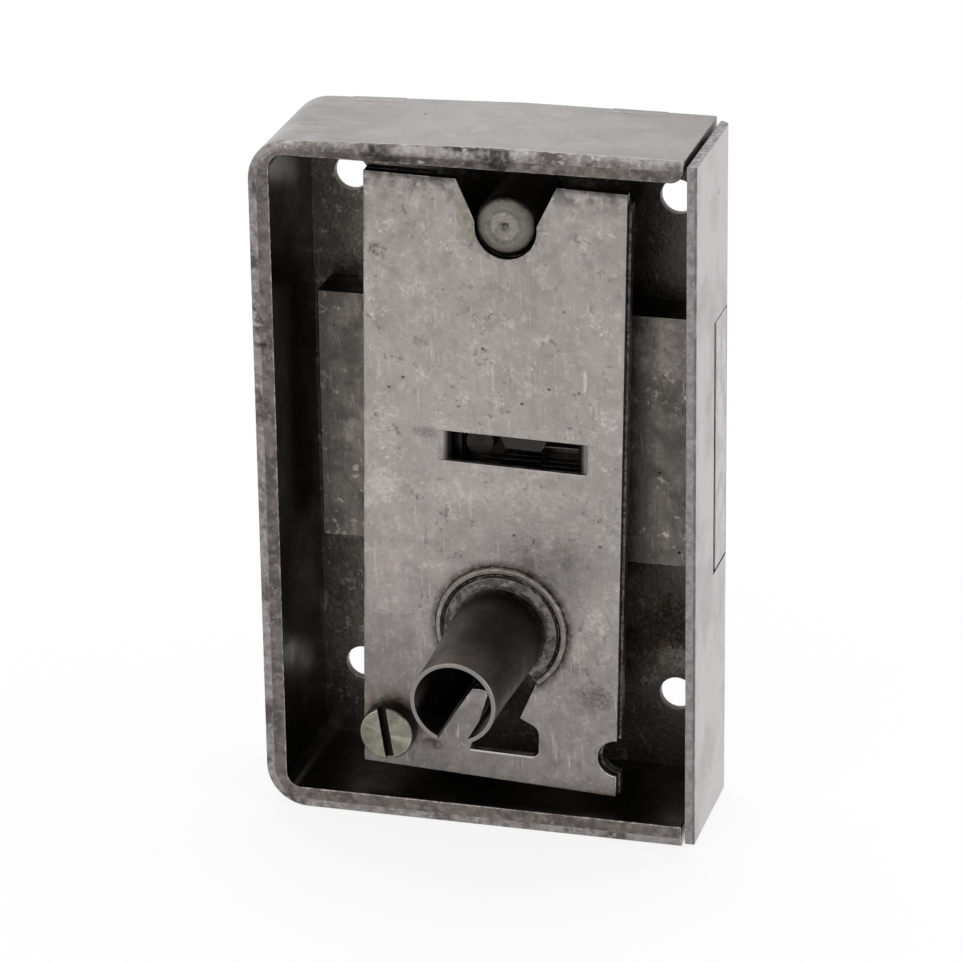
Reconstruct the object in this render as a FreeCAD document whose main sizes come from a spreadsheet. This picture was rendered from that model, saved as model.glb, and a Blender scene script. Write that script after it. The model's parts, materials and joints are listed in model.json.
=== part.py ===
import FreeCAD, Part
import math
import os
import Sketcher

# Cabinet lock with a key tube, seen from the door side: X to the right towards the forend,
# Y away from the door into the case, Z up. The origin is on the key's axis, in the plane of the
# case rim that meets the door. All lengths are in millimetres and all angles in degrees.

os.makedirs("parts", exist_ok=True)
doc = FreeCAD.newDocument("cabinet_lock")
sheet = doc.addObject("Spreadsheet::Sheet", "sizes")

SIZES = {
    # case, as seen from the door side; the pieces inside set its height and depth
    "backset": 27.5,
    "left_reach": 32.5,
    # rim: one thick strip bent to a U
    "rim_wall": 3.0,
    "rim_outer_radius": 5.8,
    "rim_inner_radius": 2.0,
    "rim_end_gap": 0.5,
    "rim_end_radius": 1.8,
    "rim_corner_drop": 1.1,
    "rim_bevel_width": 1.4,
    "rim_bevel_depth": 0.37,
    # back plate and forend, folded from one thinner sheet
    "sheet_wall": 1.3,
    "fold_outer_radius": 1.6,
    "fold_inner_radius": 0.3,
    "forend_short": 0.65,
    "tab_width": 7.0,
    "tab_fit": 0.05,
    "tab_from_left": 12.5,
    "tab_from_forend": 12.0,
    "tab_from_bottom": 26.0,
    "tab_from_top": 30.0,
    "hole_radius": 2.4,
    "hole_from_left": 8.6,
    "hole_from_forend": 6.7,
    "hole_from_bottom": 13.9,
    "hole_from_top": 11.1,
    # bolt
    "bolt_throw": 11.0,
    "bolt_above_axis": 8.05,
    "bolt_height": 35.3,
    "bolt_thickness": 6.45,
    "bolt_left_gap": 2.4,
    "bolt_play": 0.2,
    "bolt_back_play": 0.15,
    "mouth_gap": 1.2,
    "bit_radius": 17.4,
    "talon_depth": 8.6,
    "talon_corner": 2.0,
    "stump_radius": 1.9,
    "stump_left": 3.4,
    # cap plate and the guide plate behind it
    "cap_front": 4.0,
    "cap_wall": 1.25,
    "cap_tilt": 1.2,
    "cap_left_gap": 10.3,
    "cap_right_gap": 10.0,
    "cap_foot_gap": 2.3,
    "cap_above_stud": 5.8,
    "cap_foot_slant": 0.45,
    "guide_wall": 1.5,
    "guide_overhang": 0.3,
    "guide_step": 0.7,
    "guide_corner": 1.2,
    "guide_tab": 9.3,
    "guide_tab_bevel": 3.1,
    "guide_notch_right": 9.9,
    "notch_mouth": 6.75,
    "notch_below_stud": 0.5,
    "notch_throat_rise": 0.7,
    "slot_middle": 1.3,
    "slot_half_length": 10.3,
    "slot_height": 4.2,
    "slot_saw_radius": 16.0,
    "window_half_length": 10.4,
    "window_margin": 1.45,
    "window_tab_middle": 2.45,
    "window_tab_half": 2.4,
    "window_tab_slope": 1.8,
    "window_tab_drop": 3.5,
    "side_notch_radius": 2.6,
    "side_notch_above_foot": 5.15,
    # keyway below the tube
    "keyway_play": 0.85,
    "keyway_below": 4.05,
    "keyway_foot_left": 4.2,
    "keyway_foot_right": 5.35,
    "keyway_foot_height": 4.15,
    "keyway_neck_above": 1.3,
    "keyway_neck_right": 2.65,
    "keyway_lip_left": 1.6,
    "keyway_lip_round": 0.7,
    "keyway_shelf": 9.2,
    "keyway_top_left": 5.0,
    "keyway_top_right": 4.9,
    "keyway_shoulder": 7.4,
    "keyway_corner": 0.9,
    "keyway_foot_round": 1.6,
    "keyway_margin": 0.6,
    # key tube and its collar
    "tube_radius": 5.75,
    "tube_flare": 0.65,
    "tube_straight": 7.0,
    "tube_wall": 0.6,
    "tube_reach": 20.6,
    "tube_slit": 4.0,
    "tube_lip": 0.15,
    "tube_neck_wall": 0.5,
    "collar_step": 1.65,
    "collar_ring": 1.15,
    "collar_inner_height": 1.2,
    "collar_outer_height": 0.7,
    "collar_groove_depth": 0.35,
    "collar_gap_right": 53.0,
    "collar_gap_left": 58.0,
    # stud, pillar, posts and screw
    "stud_above_bolt": 13.95,
    "case_above_stud": 11.7,
    "stud_radius": 4.05,
    "stud_play": 0.1,
    "stud_proud": 0.35,
    "stud_round": 1.2,
    "stud_dimple": 0.55,
    "tenon_radius": 2.2,
    "pillar_radius": 3.2,
    "screw_from_left": 3.8,
    "screw_above_foot": 5.95,
    "screw_radius": 1.95,
    "screw_play": 0.08,
    "screw_length": 9.0,
    "screw_head_radius": 3.75,
    "screw_head_height": 2.6,
    "screw_head_draft": 0.05,
    "screw_head_bevel": 0.2,
    "screw_slot_width": 1.2,
    "screw_slot_depth": 1.1,
    "screw_turn": 8.5,
    "screw_clearance": 0.3,
    "post_radius": 2.5,
    "post_tenon_radius": 1.6,
    "post_across": 12.0,
    "post_above_bolt": 8.15,
    # tumblers
    "tumbler_wall": 1.3,
    "tumbler_gap": 0.3375,
    "pivot_radius": 1.7,
    "pivot_across": 13.0,
    "pivot_play": 0.08,
    "pivot_boss": 3.4,
    "tumbler_left": 12.5,
    "tumbler_above_middle": 7.6,
    "belly_lift": 3.3,
    "belly_step": 0.7,
    "belly_depth": 2.1,
    "gate_play": 0.25,
    "pocket_side_play": 0.7,
    "left_pocket_up": 3.3,
    "left_pocket_down": 3.5,
    "right_pocket_up": 2.7,
    "right_pocket_down": 2.7,
    "spring_wall": 0.35,
    "spring_depth": 1.0,
    "spring_root": 2.0,
    "spring_tip": 1.5,
    "spring_gap": 0.3,
}
COUNT_OF_TUMBLERS = 3


class Size:
    """A number together with the sheet formula that gives it."""

    def __init__(self, number, formula):
        self.number = number
        self.formula = formula

    def __float__(self):
        return float(self.number)

    def joined(self, other, sign, number):
        return Size(number, "(%s %s %s)" % (self.formula, sign, formula_of(other)))

    def __add__(self, other):
        return self.joined(other, "+", self.number + float(other))

    def __sub__(self, other):
        return self.joined(other, "-", self.number - float(other))

    def __mul__(self, other):
        return self.joined(other, "*", self.number * float(other))

    def __truediv__(self, other):
        return self.joined(other, "/", self.number / float(other))

    def __rmul__(self, factor):
        return Size(factor * self.number, "(%s * %s)" % (factor, self.formula))

    def __neg__(self):
        return Size(-self.number, "(-1 * %s)" % self.formula)


def formula_of(value):
    """The formula of a Size, or a plain number as text."""
    return value.formula if isinstance(value, Size) else repr(float(value))


def sine(angle):
    return Size(math.sin(math.radians(float(angle))), "sin(%s * 1 deg)" % formula_of(angle))


def cosine(angle):
    return Size(math.cos(math.radians(float(angle))), "cos(%s * 1 deg)" % formula_of(angle))


def chord(radius, height):
    """Half the chord of a circle at a height above its centre."""
    return Size(
        math.sqrt(float(radius) ** 2 - float(height) ** 2),
        "sqrt(%s ^ 2 - %s ^ 2)" % (formula_of(radius), formula_of(height)),
    )


for row, (word, number) in enumerate(SIZES.items(), start=1):
    sheet.set("A%d" % row, word)
    sheet.set("B%d" % row, str(number))
    sheet.setAlias("B%d" % row, word)
doc.recompute()


def cell(word):
    """The named cell of the sheet."""
    return Size(SIZES[word], "sizes." + word)


ZERO = Size(0.0, "0")


def bind(thing, prop, value):
    """Tie a property to its formula in the sheet."""
    thing.setExpression(prop, formula_of(value))


def place(thing, x=ZERO, y=ZERO, z=ZERO, turn=None):
    """Bind a placement: a shift, and a turn about the Y axis."""
    if turn is not None:
        thing.Placement = FreeCAD.Placement(
            FreeCAD.Vector(0, 0, 0), FreeCAD.Rotation(FreeCAD.Vector(0, 1, 0), float(turn))
        )
        thing.setExpression("Placement.Rotation.Angle", formula_of(turn) + " * 1 deg")
    bind(thing, "Placement.Base.x", x)
    bind(thing, "Placement.Base.y", y)
    bind(thing, "Placement.Base.z", z)


def new_body(name):
    body = doc.addObject("PartDesign::Body", name)
    body.Label = name
    return body


def plane_of(body, role):
    for feature in body.Origin.OriginFeatures:
        if feature.Role == role:
            return feature
    raise ValueError(role)


def new_sketch(body, role, distance=ZERO):
    """An empty sketch on an origin plane of the body, moved along the plane's normal."""
    sketch = body.newObject("Sketcher::SketchObject", body.Name + "_sketch")
    sketch.AttachmentSupport = [(plane_of(body, role), "")]
    sketch.MapMode = "FlatFace"
    bind(sketch, "AttachmentOffset.Base.z", distance)
    return sketch


def hold(sketch, kind, index, position, value):
    """Hold one coordinate of a point of the sketch, measured from the origin."""
    number = sketch.addConstraint(
        Sketcher.Constraint(kind, -1, 1, index, position, float(value))
    )
    bind(sketch, "Constraints[%d]" % number, value)


def pin_across(sketch, index, position, x):
    hold(sketch, "DistanceX", index, position, x)


def pin_height(sketch, index, position, y):
    hold(sketch, "DistanceY", index, position, y)


def pin_point(sketch, index, position, x, y):
    pin_across(sketch, index, position, x)
    pin_height(sketch, index, position, y)


def draw_outline(sketch, points):
    """A closed outline of straight edges through the points, each point held by its sizes."""
    corners = [FreeCAD.Vector(float(x), float(y), 0) for x, y in points]
    first = sketch.GeometryCount
    last = first + len(corners) - 1
    for here, there in zip(corners, corners[1:] + corners[:1]):
        sketch.addGeometry(Part.LineSegment(here, there), False)
    for index in range(first, last + 1):
        after = first if index == last else index + 1
        sketch.addConstraint(Sketcher.Constraint("Coincident", index, 2, after, 1))
    for index, (x, y) in enumerate(points, start=first):
        pin_point(sketch, index, 1, x, y)


def draw_circle(sketch, x, y, radius):
    centre = FreeCAD.Vector(float(x), float(y), 0)
    index = sketch.addGeometry(
        Part.Circle(centre, FreeCAD.Vector(0, 0, 1), float(radius)), False
    )
    pin_point(sketch, index, 3, x, y)
    number = sketch.addConstraint(Sketcher.Constraint("Radius", index, float(radius)))
    bind(sketch, "Constraints[%d]" % number, radius)


def grew(body, before, more):
    """Check that a feature added or took material, since one that points away does nothing."""
    doc.recompute()
    after = body.Shape.Volume
    changed = after > before + 1e-6 if more else after < before - 1e-6
    if not changed:
        raise ValueError("a feature of %s changed nothing" % body.Label)


def volume_of(body):
    return body.Shape.Volume if body.Tip else 0.0


def pad(body, role, start, length, draw, reverse=False):
    """Add a straight-sided piece whose outline is drawn on a plane."""
    before = volume_of(body)
    sketch = new_sketch(body, role, start)
    draw(sketch)
    feature = body.newObject("PartDesign::Pad", body.Name + "_pad")
    feature.Profile = sketch
    feature.Reversed = reverse
    bind(feature, "Length", length)
    grew(body, before, True)
    return feature


def plate(body, front, wall, points):
    """A flat sheet facing the door: its front face lies at the depth front."""
    return pad(
        body, "XZ_Plane", -front, wall, lambda sketch: draw_outline(sketch, points), True
    )


def pocket(body, role, start, depth, draw, reverse=False):
    """Take material away below an outline drawn on a plane."""
    before = volume_of(body)
    sketch = new_sketch(body, role, start)
    draw(sketch)
    feature = body.newObject("PartDesign::Pocket", body.Name + "_pocket")
    feature.Profile = sketch
    feature.Reversed = reverse
    bind(feature, "Length", depth)
    grew(body, before, False)
    return feature


def cut_outline(body, front, depth, points):
    """Punch an outline through a plate from its front face."""
    return pocket(body, "XZ_Plane", -front, depth, lambda sketch: draw_outline(sketch, points))


def cut_round(body, front, depth, x, z, radius):
    """Drill a round hole from a front face."""
    return pocket(
        body, "XZ_Plane", -front, depth, lambda sketch: draw_circle(sketch, x, z, radius)
    )


def edges_along_depth(feature, corners):
    """Names of the edges that run along Y through the given X, Z corners."""
    names = []
    for number, edge in enumerate(feature.Shape.Edges, start=1):
        ends = [vertex.Point for vertex in edge.Vertexes]
        if len(ends) != 2 or abs(ends[0].y - ends[1].y) < 1e-4:
            continue
        for x, z in corners:
            near = all(abs(p.x - float(x)) < 0.01 and abs(p.z - float(z)) < 0.01 for p in ends)
            if near:
                names.append("Edge%d" % number)
    return names


def round_corners(body, corners, radius):
    """Round the corners of a plate."""
    base = body.Tip
    names = edges_along_depth(base, corners)
    if len(names) < len(corners):
        raise ValueError("a corner of %s was not found" % body.Label)
    feature = body.newObject("PartDesign::Fillet", body.Name + "_round")
    feature.Base = (base, names)
    bind(feature, "Radius", radius)
    doc.recompute()
    return feature


def round_rim(body, radius, y, size):
    """Round a circular edge of a turned piece, given by its radius and its place along Y."""
    base = body.Tip
    names = []
    for number, edge in enumerate(base.Shape.Edges, start=1):
        curve = edge.Curve
        if not isinstance(curve, Part.Circle):
            continue
        if abs(curve.Radius - float(radius)) < 0.005 and abs(curve.Center.y - float(y)) < 0.005:
            names.append("Edge%d" % number)
    if not names:
        raise ValueError("an edge of %s was not found" % body.Label)
    feature = body.newObject("PartDesign::Fillet", body.Name + "_round")
    feature.Base = (base, names)
    bind(feature, "Radius", size)
    doc.recompute()
    return feature


def turned(name, profile, x=ZERO, z=ZERO, turn=None):
    """A lathe piece: a profile of radius and depth, spun about an axis along Y."""
    body = new_body(name)
    sketch = new_sketch(body, "XY_Plane")
    draw_outline(sketch, profile)
    feature = body.newObject("PartDesign::Revolution", name + "_turn")
    feature.Profile = sketch
    feature.ReferenceAxis = (sketch, ["V_Axis"])
    feature.Angle = 360.0
    place(body, x, ZERO, z, turn)
    grew(body, 0.0, True)
    return body


# Depths, counted from the door
cap_back = cell("cap_front") + cell("cap_wall")
guide_back = cap_back + cell("guide_wall")
collar_front = cell("cap_front") - cell("collar_inner_height")
tumbler_pitch = cell("tumbler_gap") + cell("tumbler_wall")
first_tumbler = guide_back + cell("tumbler_gap")
bolt_front = first_tumbler + tumbler_pitch * COUNT_OF_TUMBLERS
bolt_back = bolt_front + cell("bolt_thickness")
back_inside = bolt_back + cell("bolt_back_play")
case_back = back_inside + cell("sheet_wall")

# Heights, counted from the key's axis
bolt_foot = cell("bolt_above_axis")
bolt_head = bolt_foot + cell("bolt_height")
bolt_middle = bolt_foot + cell("bolt_height") / 2
stud_rise = bolt_head + cell("stud_above_bolt")
post_rise = bolt_head + cell("post_above_bolt")
notch_rise = stud_rise - cell("notch_below_stud")
case_head = stud_rise + cell("case_above_stud")
inside_head = case_head - cell("rim_wall")
cap_head = stud_rise + cell("cap_above_stud")
keyway_foot = -cell("bit_radius") - cell("keyway_play")
cap_foot = keyway_foot - cell("keyway_below")
inside_foot = cap_foot - cell("cap_foot_gap")
case_foot = inside_foot - cell("rim_wall")
tumbler_head = bolt_middle + cell("tumbler_above_middle")
lowest_belly = cell("bit_radius") - cell("belly_lift")

# Widths, counted from the key's axis
forend_face = cell("backset")
forend_inside = forend_face - cell("sheet_wall")
rim_end = forend_inside - cell("rim_end_gap")
case_left = -cell("left_reach")
inside_left = case_left + cell("rim_wall")
bolt_left = inside_left + cell("bolt_left_gap")
cap_left = inside_left + cell("cap_left_gap")
cap_right = forend_inside - cell("cap_right_gap")
stump_x = -cell("stump_left")
tube_root = cell("tube_radius") + cell("tube_flare")
tube_neck = cell("tube_radius") - cell("tube_wall") + cell("tube_neck_wall")
post_places = {"cover_post_left": -cell("post_across"), "cover_post_right": cell("post_across")}


def hung(x, z):
    """Where a point of the cap plate lies once the plate hangs askew."""
    tilt = cell("cap_tilt")
    return x * cosine(tilt) + z * sine(tilt), z * cosine(tilt) - x * sine(tilt)


cap_screw_x = cap_left + cell("screw_from_left")
cap_screw_z = cap_foot + cell("screw_above_foot")
stud_x, stud_z = hung(ZERO, stud_rise)
screw_x, screw_z = hung(cap_screw_x, cap_screw_z)


def roof(x):
    """Height of the rim's top: it drops evenly from the key's axis to the left-hand corner."""
    return case_head + x / cell("left_reach") * cell("rim_corner_drop")


def rectangle(left, foot, right, head):
    return [(left, foot), (right, foot), (right, head), (left, head)]


def build_back_plate():
    """Back plate with the forend folded up from it, tabs that key into the rim, and its holes."""
    body = new_body("back_plate")
    wall = cell("sheet_wall")
    half = cell("tab_width") / 2
    left_tab = case_left + cell("tab_from_left")
    right_tab = forend_face - cell("tab_from_forend")
    low_tab = case_foot + cell("tab_from_bottom")
    high_tab = case_head - cell("tab_from_top")
    outline = [
        (inside_left, inside_foot),
        (left_tab - half, inside_foot),
        (left_tab - half, case_foot),
        (left_tab + half, case_foot),
        (left_tab + half, inside_foot),
        (right_tab - half, inside_foot),
        (right_tab - half, case_foot),
        (right_tab + half, case_foot),
        (right_tab + half, inside_foot),
        (forend_face, inside_foot),
        (forend_face, inside_head),
        (right_tab + half, inside_head),
        (right_tab + half, case_head),
        (right_tab - half, case_head),
        (right_tab - half, inside_head),
        (left_tab + half, inside_head),
        (left_tab + half, roof(left_tab + half)),
        (left_tab - half, roof(left_tab - half)),
        (left_tab - half, inside_head),
        (inside_left, inside_head),
        (inside_left, high_tab + half),
        (case_left, high_tab + half),
        (case_left, high_tab - half),
        (inside_left, high_tab - half),
        (inside_left, low_tab + half),
        (case_left, low_tab + half),
        (case_left, low_tab - half),
        (inside_left, low_tab - half),
    ]
    plate(body, back_inside, wall, outline)
    round_corners(
        body,
        [(inside_left, inside_foot), (inside_left, inside_head)],
        cell("rim_inner_radius"),
    )
    forend = rectangle(
        ZERO, case_foot + cell("forend_short"), case_back, case_head - cell("forend_short")
    )
    pad(body, "YZ_Plane", forend_inside, wall, lambda sketch: draw_outline(sketch, forend))
    round_fold(body)
    hole_columns = (
        case_left + cell("hole_from_left"),
        forend_face - cell("hole_from_forend"),
    )
    hole_rows = (
        case_foot + cell("hole_from_bottom"),
        case_head - cell("hole_from_top"),
    )
    for x in hole_columns:
        for z in hole_rows:
            cut_round(body, back_inside, wall, x, z, cell("hole_radius"))
    cut_round(body, back_inside, wall, stud_x, stud_z, cell("tenon_radius"))
    cut_round(body, back_inside, wall, screw_x, screw_z, cell("tenon_radius"))
    cut_round(
        body, back_inside, wall, cell("pivot_across"), bolt_middle, cell("pivot_radius")
    )
    for x in post_places.values():
        cut_round(body, back_inside, wall, x, post_rise, cell("post_tenon_radius"))
    mouth = rectangle(
        bolt_front - cell("mouth_gap"),
        bolt_foot - cell("bolt_play"),
        back_inside,
        bolt_head + cell("bolt_play"),
    )
    pocket(
        body,
        "YZ_Plane",
        forend_face,
        wall + cell("fold_inner_radius"),
        lambda sketch: draw_outline(sketch, mouth),
    )
    return body


def round_fold(body):
    """Give the fold between back plate and forend its outer radius."""
    base = body.Tip
    names = []
    for number, edge in enumerate(base.Shape.Edges, start=1):
        ends = [vertex.Point for vertex in edge.Vertexes]
        if len(ends) != 2:
            continue
        on_fold = all(
            abs(p.x - float(forend_face)) < 0.01 and abs(p.y - float(case_back)) < 0.01
            for p in ends
        )
        if on_fold and abs(ends[0].z - ends[1].z) > 1:
            names.append("Edge%d" % number)
    feature = body.newObject("PartDesign::Fillet", "fold")
    feature.Base = (base, names)
    bind(feature, "Radius", cell("fold_outer_radius"))
    doc.recompute()
    fold_inside(body)


def fold_inside(body):
    """Fill the inner corner of the fold with its small radius."""
    base = body.Tip
    names = []
    for number, edge in enumerate(base.Shape.Edges, start=1):
        ends = [vertex.Point for vertex in edge.Vertexes]
        if len(ends) != 2:
            continue
        on_fold = all(
            abs(p.x - float(forend_inside)) < 0.01 and abs(p.y - float(back_inside)) < 0.01
            for p in ends
        )
        if on_fold and abs(ends[0].z - ends[1].z) > 1:
            names.append("Edge%d" % number)
    feature = body.newObject("PartDesign::Fillet", "fold_root")
    feature.Base = (base, names)
    bind(feature, "Radius", cell("fold_inner_radius"))
    doc.recompute()


def build_rim():
    """Thick strip bent to a U, open towards the forend, with a shallow bevel on its front edge."""
    body = new_body("rim")
    plate(
        body,
        ZERO,
        case_back,
        [
            (case_left, case_foot),
            (rim_end, case_foot),
            (rim_end, inside_foot),
            (inside_left, inside_foot),
            (inside_left, inside_head),
            (rim_end, inside_head),
            (rim_end, case_head),
            (ZERO, case_head),
            (case_left, roof(case_left)),
        ],
    )
    round_corners(
        body,
        [(case_left, case_foot), (case_left, roof(case_left))],
        cell("rim_outer_radius"),
    )
    round_corners(body, [(rim_end, inside_head)], cell("rim_end_radius"))
    round_corners(
        body, [(inside_left, inside_foot), (inside_left, inside_head)], cell("rim_inner_radius")
    )
    bevel_rim(body)
    cut_tab_seats(body)
    return body


def bevel_rim(body):
    """Bevel the outer front edge of the strip all the way round."""
    base = body.Tip
    half_wall = float(cell("rim_wall")) / 2
    names = []
    for number, edge in enumerate(base.Shape.Edges, start=1):
        box = edge.BoundBox
        if box.YMax > 0.01 or box.YMin < -0.01:
            continue
        middle = edge.valueAt((edge.FirstParameter + edge.LastParameter) / 2)
        inside = (
            middle.x > float(inside_left) - 0.1
            and float(inside_foot) - half_wall < middle.z < float(inside_head) + half_wall
        )
        at_end = abs(middle.x - float(rim_end)) < 0.01
        if not inside and not at_end:
            names.append("Edge%d" % number)
    before = base.Shape.Volume
    feature = body.newObject("PartDesign::Chamfer", "rim_bevel")
    feature.Base = (base, names)
    feature.ChamferType = "Two distances"
    bind(feature, "Size", cell("rim_bevel_width"))
    bind(feature, "Size2", cell("rim_bevel_depth"))
    grew(body, before, False)
    front = [face for face in body.Shape.Faces if face.BoundBox.YMax < 0.001]
    flat = min(face.BoundBox.XMin for face in front)
    feature.FlipDirection = abs(flat - float(case_left + cell("rim_bevel_width"))) > 0.1
    doc.recompute()


def cut_tab_seats(body):
    """Notches in the rear edge of the strip that take the tabs of the back plate."""
    half = cell("tab_width") / 2 + cell("tab_fit")
    depth = cell("sheet_wall")
    columns = (
        case_left + cell("tab_from_left"),
        forend_face - cell("tab_from_forend"),
    )
    for x in columns:
        cut_outline(
            body, back_inside, depth, rectangle(x - half, case_foot, x + half, inside_foot)
        )
        cut_outline(
            body, back_inside, depth, rectangle(x - half, inside_head, x + half, case_head)
        )
    for z in (case_foot + cell("tab_from_bottom"), case_head - cell("tab_from_top")):
        cut_outline(
            body, back_inside, depth, rectangle(case_left, z - half, inside_left, z + half)
        )


def build_bolt():
    """Dead bolt with the key's talon notch in its lower edge and the slot for the pivot pin."""
    body = new_body("bolt")
    talon_left = -chord(cell("bit_radius"), bolt_foot)
    talon_right = chord(cell("bit_radius"), bolt_foot) - cell("bolt_throw")
    talon_head = bolt_foot + cell("talon_depth")
    plate(
        body,
        bolt_front,
        cell("bolt_thickness"),
        [
            (bolt_left, bolt_foot),
            (talon_left, bolt_foot),
            (talon_left, talon_head),
            (talon_right, talon_head),
            (talon_right, bolt_foot),
            (forend_face, bolt_foot),
            (forend_face, bolt_head),
            (bolt_left, bolt_head),
        ],
    )
    round_corners(
        body, [(talon_left, talon_head), (talon_right, talon_head)], cell("talon_corner")
    )
    slot_radius = cell("pivot_radius") + cell("bolt_play")
    slot_right = cell("pivot_across")
    slot_left = slot_right - cell("bolt_throw")
    depth = cell("bolt_thickness")
    cut_outline(
        body,
        bolt_front,
        depth,
        rectangle(
            slot_left,
            bolt_middle - slot_radius,
            slot_right,
            bolt_middle + slot_radius,
        ),
    )
    for x in (slot_left, slot_right):
        cut_round(body, bolt_front, depth, x, bolt_middle, slot_radius)
    cut_round(body, bolt_front, depth, stump_x, bolt_middle, cell("stump_radius"))
    return body


def build_bolt_stump():
    """Round stump riveted in the bolt: it passes through the tumblers' gates."""
    front = first_tumbler - cell("gate_play")
    radius = cell("stump_radius")
    profile = [(ZERO, front), (radius, front), (radius, bolt_back), (ZERO, bolt_back)]
    return turned("bolt_stump", profile, stump_x, bolt_middle)


def build_pivot_pin():
    """Pin of the tumblers, riveted in the back plate, that also guides the bolt's slot."""
    radius = cell("pivot_radius")
    profile = [(ZERO, guide_back), (radius, guide_back), (radius, case_back), (ZERO, case_back)]
    return turned("tumbler_pivot", profile, cell("pivot_across"), bolt_middle)


def build_tumbler(number):
    """Flat tumbler: a boss on the pivot, a window with two pockets and a gate, and a belly that
    the key's bit lifts. The pieces stand with their gates in line with the stump."""
    body = new_body("tumbler_%d" % number)
    front = first_tumbler + tumbler_pitch * (number - 1)
    wall = cell("tumbler_wall")
    pivot_x = cell("pivot_across")
    middle = bolt_middle
    foot = lowest_belly - cell("belly_depth")
    boss = cell("pivot_boss")
    plate(
        body,
        front,
        wall,
        [
            (-cell("tumbler_left"), foot),
            (pivot_x - boss, foot),
            (pivot_x, middle - boss),
            (pivot_x, middle + boss),
            (pivot_x - boss, tumbler_head),
            (-cell("tumbler_left"), tumbler_head),
        ],
    )
    pad(
        body,
        "XZ_Plane",
        -front,
        wall,
        lambda sketch: draw_circle(sketch, pivot_x, middle, boss),
        True,
    )
    cut_round(body, front, wall, pivot_x, middle, cell("pivot_radius") + cell("pivot_play"))
    belly = lowest_belly + cell("belly_step") * (number - 1)
    cut_round(body, front, wall, ZERO, ZERO, belly)
    radius = cell("stump_radius")
    side = cell("pocket_side_play")
    window_left = stump_x - radius - side
    tooth_left = stump_x + radius + side
    window_right = stump_x + cell("bolt_throw") + radius + side
    tooth_right = stump_x + cell("bolt_throw") - radius - side
    gate_foot = middle - radius - cell("gate_play")
    gate_head = middle + radius + cell("gate_play")
    left_head = middle + cell("left_pocket_up")
    left_foot = middle - cell("left_pocket_down")
    right_head = middle + cell("right_pocket_up")
    right_foot = middle - cell("right_pocket_down")
    cut_outline(
        body,
        front,
        wall,
        [
            (window_left, left_foot),
            (tooth_left, left_foot),
            (tooth_left, gate_foot),
            (tooth_right, gate_foot),
            (tooth_right, right_foot),
            (window_right, right_foot),
            (window_right, right_head),
            (tooth_right, right_head),
            (tooth_right, gate_head),
            (tooth_left, gate_head),
            (tooth_left, left_head),
            (window_left, left_head),
        ],
    )
    return body


def draw_leaf(sketch, centre_x, centre_z, radius, wall, tip_x):
    """A curved leaf between two arcs, cut level at its root and upright at its tip."""
    centre = FreeCAD.Vector(float(centre_x), float(centre_z), 0)
    bends = (radius - wall / 2, radius + wall / 2)
    for index, bend in enumerate(bends):
        reach = math.acos(float(tip_x - centre_x) / float(bend))
        circle = Part.Circle(centre, FreeCAD.Vector(0, 0, 1), float(bend))
        sketch.addGeometry(Part.ArcOfCircle(circle, 0.0, reach), False)
        pin_point(sketch, index, 3, centre_x, centre_z)
        number = sketch.addConstraint(Sketcher.Constraint("Radius", index, float(bend)))
        bind(sketch, "Constraints[%d]" % number, bend)
        pin_height(sketch, index, 1, centre_z)
        pin_across(sketch, index, 2, tip_x)
    arcs = [sketch.Geometry[0], sketch.Geometry[1]]
    for point, ends in ((1, "StartPoint"), (2, "EndPoint")):
        line = Part.LineSegment(getattr(arcs[0], ends), getattr(arcs[1], ends))
        index = sketch.addGeometry(line, False)
        sketch.addConstraint(Sketcher.Constraint("Coincident", index, 1, 0, point))
        sketch.addConstraint(Sketcher.Constraint("Coincident", index, 2, 1, point))


def build_tumbler_spring(number):
    """Leaf spring of a tumbler: staked on its top edge, it curves over to the left-hand post."""
    body = new_body("tumbler_spring_%d" % number)
    front = first_tumbler + tumbler_pitch * (number - 1)
    front = front + (cell("tumbler_wall") - cell("spring_depth")) / 2
    root = -cell("spring_root")
    foot = tumbler_head
    seat = cell("spring_wall") / 2 + cell("post_radius") + cell("spring_gap")
    across = -cell("post_across") - root
    rise = post_rise - foot
    radius = (across * across + rise * rise - seat * seat) / (seat - across) / 2
    tip = -cell("post_across") - cell("spring_tip")
    pad(
        body,
        "XZ_Plane",
        -front,
        cell("spring_depth"),
        lambda sketch: draw_leaf(
            sketch, root - radius, foot, radius, cell("spring_wall"), tip
        ),
        True,
    )
    return body


def build_cover_post(name, across):
    """Post above the bolt that carries the guide plate, riveted in the back plate."""
    profile = [
        (ZERO, guide_back),
        (cell("post_radius"), guide_back),
        (cell("post_radius"), back_inside),
        (cell("post_tenon_radius"), back_inside),
        (cell("post_tenon_radius"), case_back),
        (ZERO, case_back),
    ]
    return turned(name, profile, across, post_rise)


def build_cap_stud():
    """Thick stud riveted in the back plate; the notches of both plates close round it."""
    front = cell("cap_front") - cell("stud_proud")
    dimple = cell("stud_dimple")
    profile = [
        (ZERO, front + dimple),
        (dimple, front),
        (cell("stud_radius"), front),
        (cell("stud_radius"), back_inside),
        (cell("tenon_radius"), back_inside),
        (cell("tenon_radius"), case_back),
        (ZERO, case_back),
    ]
    body = turned("cap_stud", profile, stud_x, stud_z)
    round_rim(body, cell("stud_radius"), front, cell("stud_round"))
    return body


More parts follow.
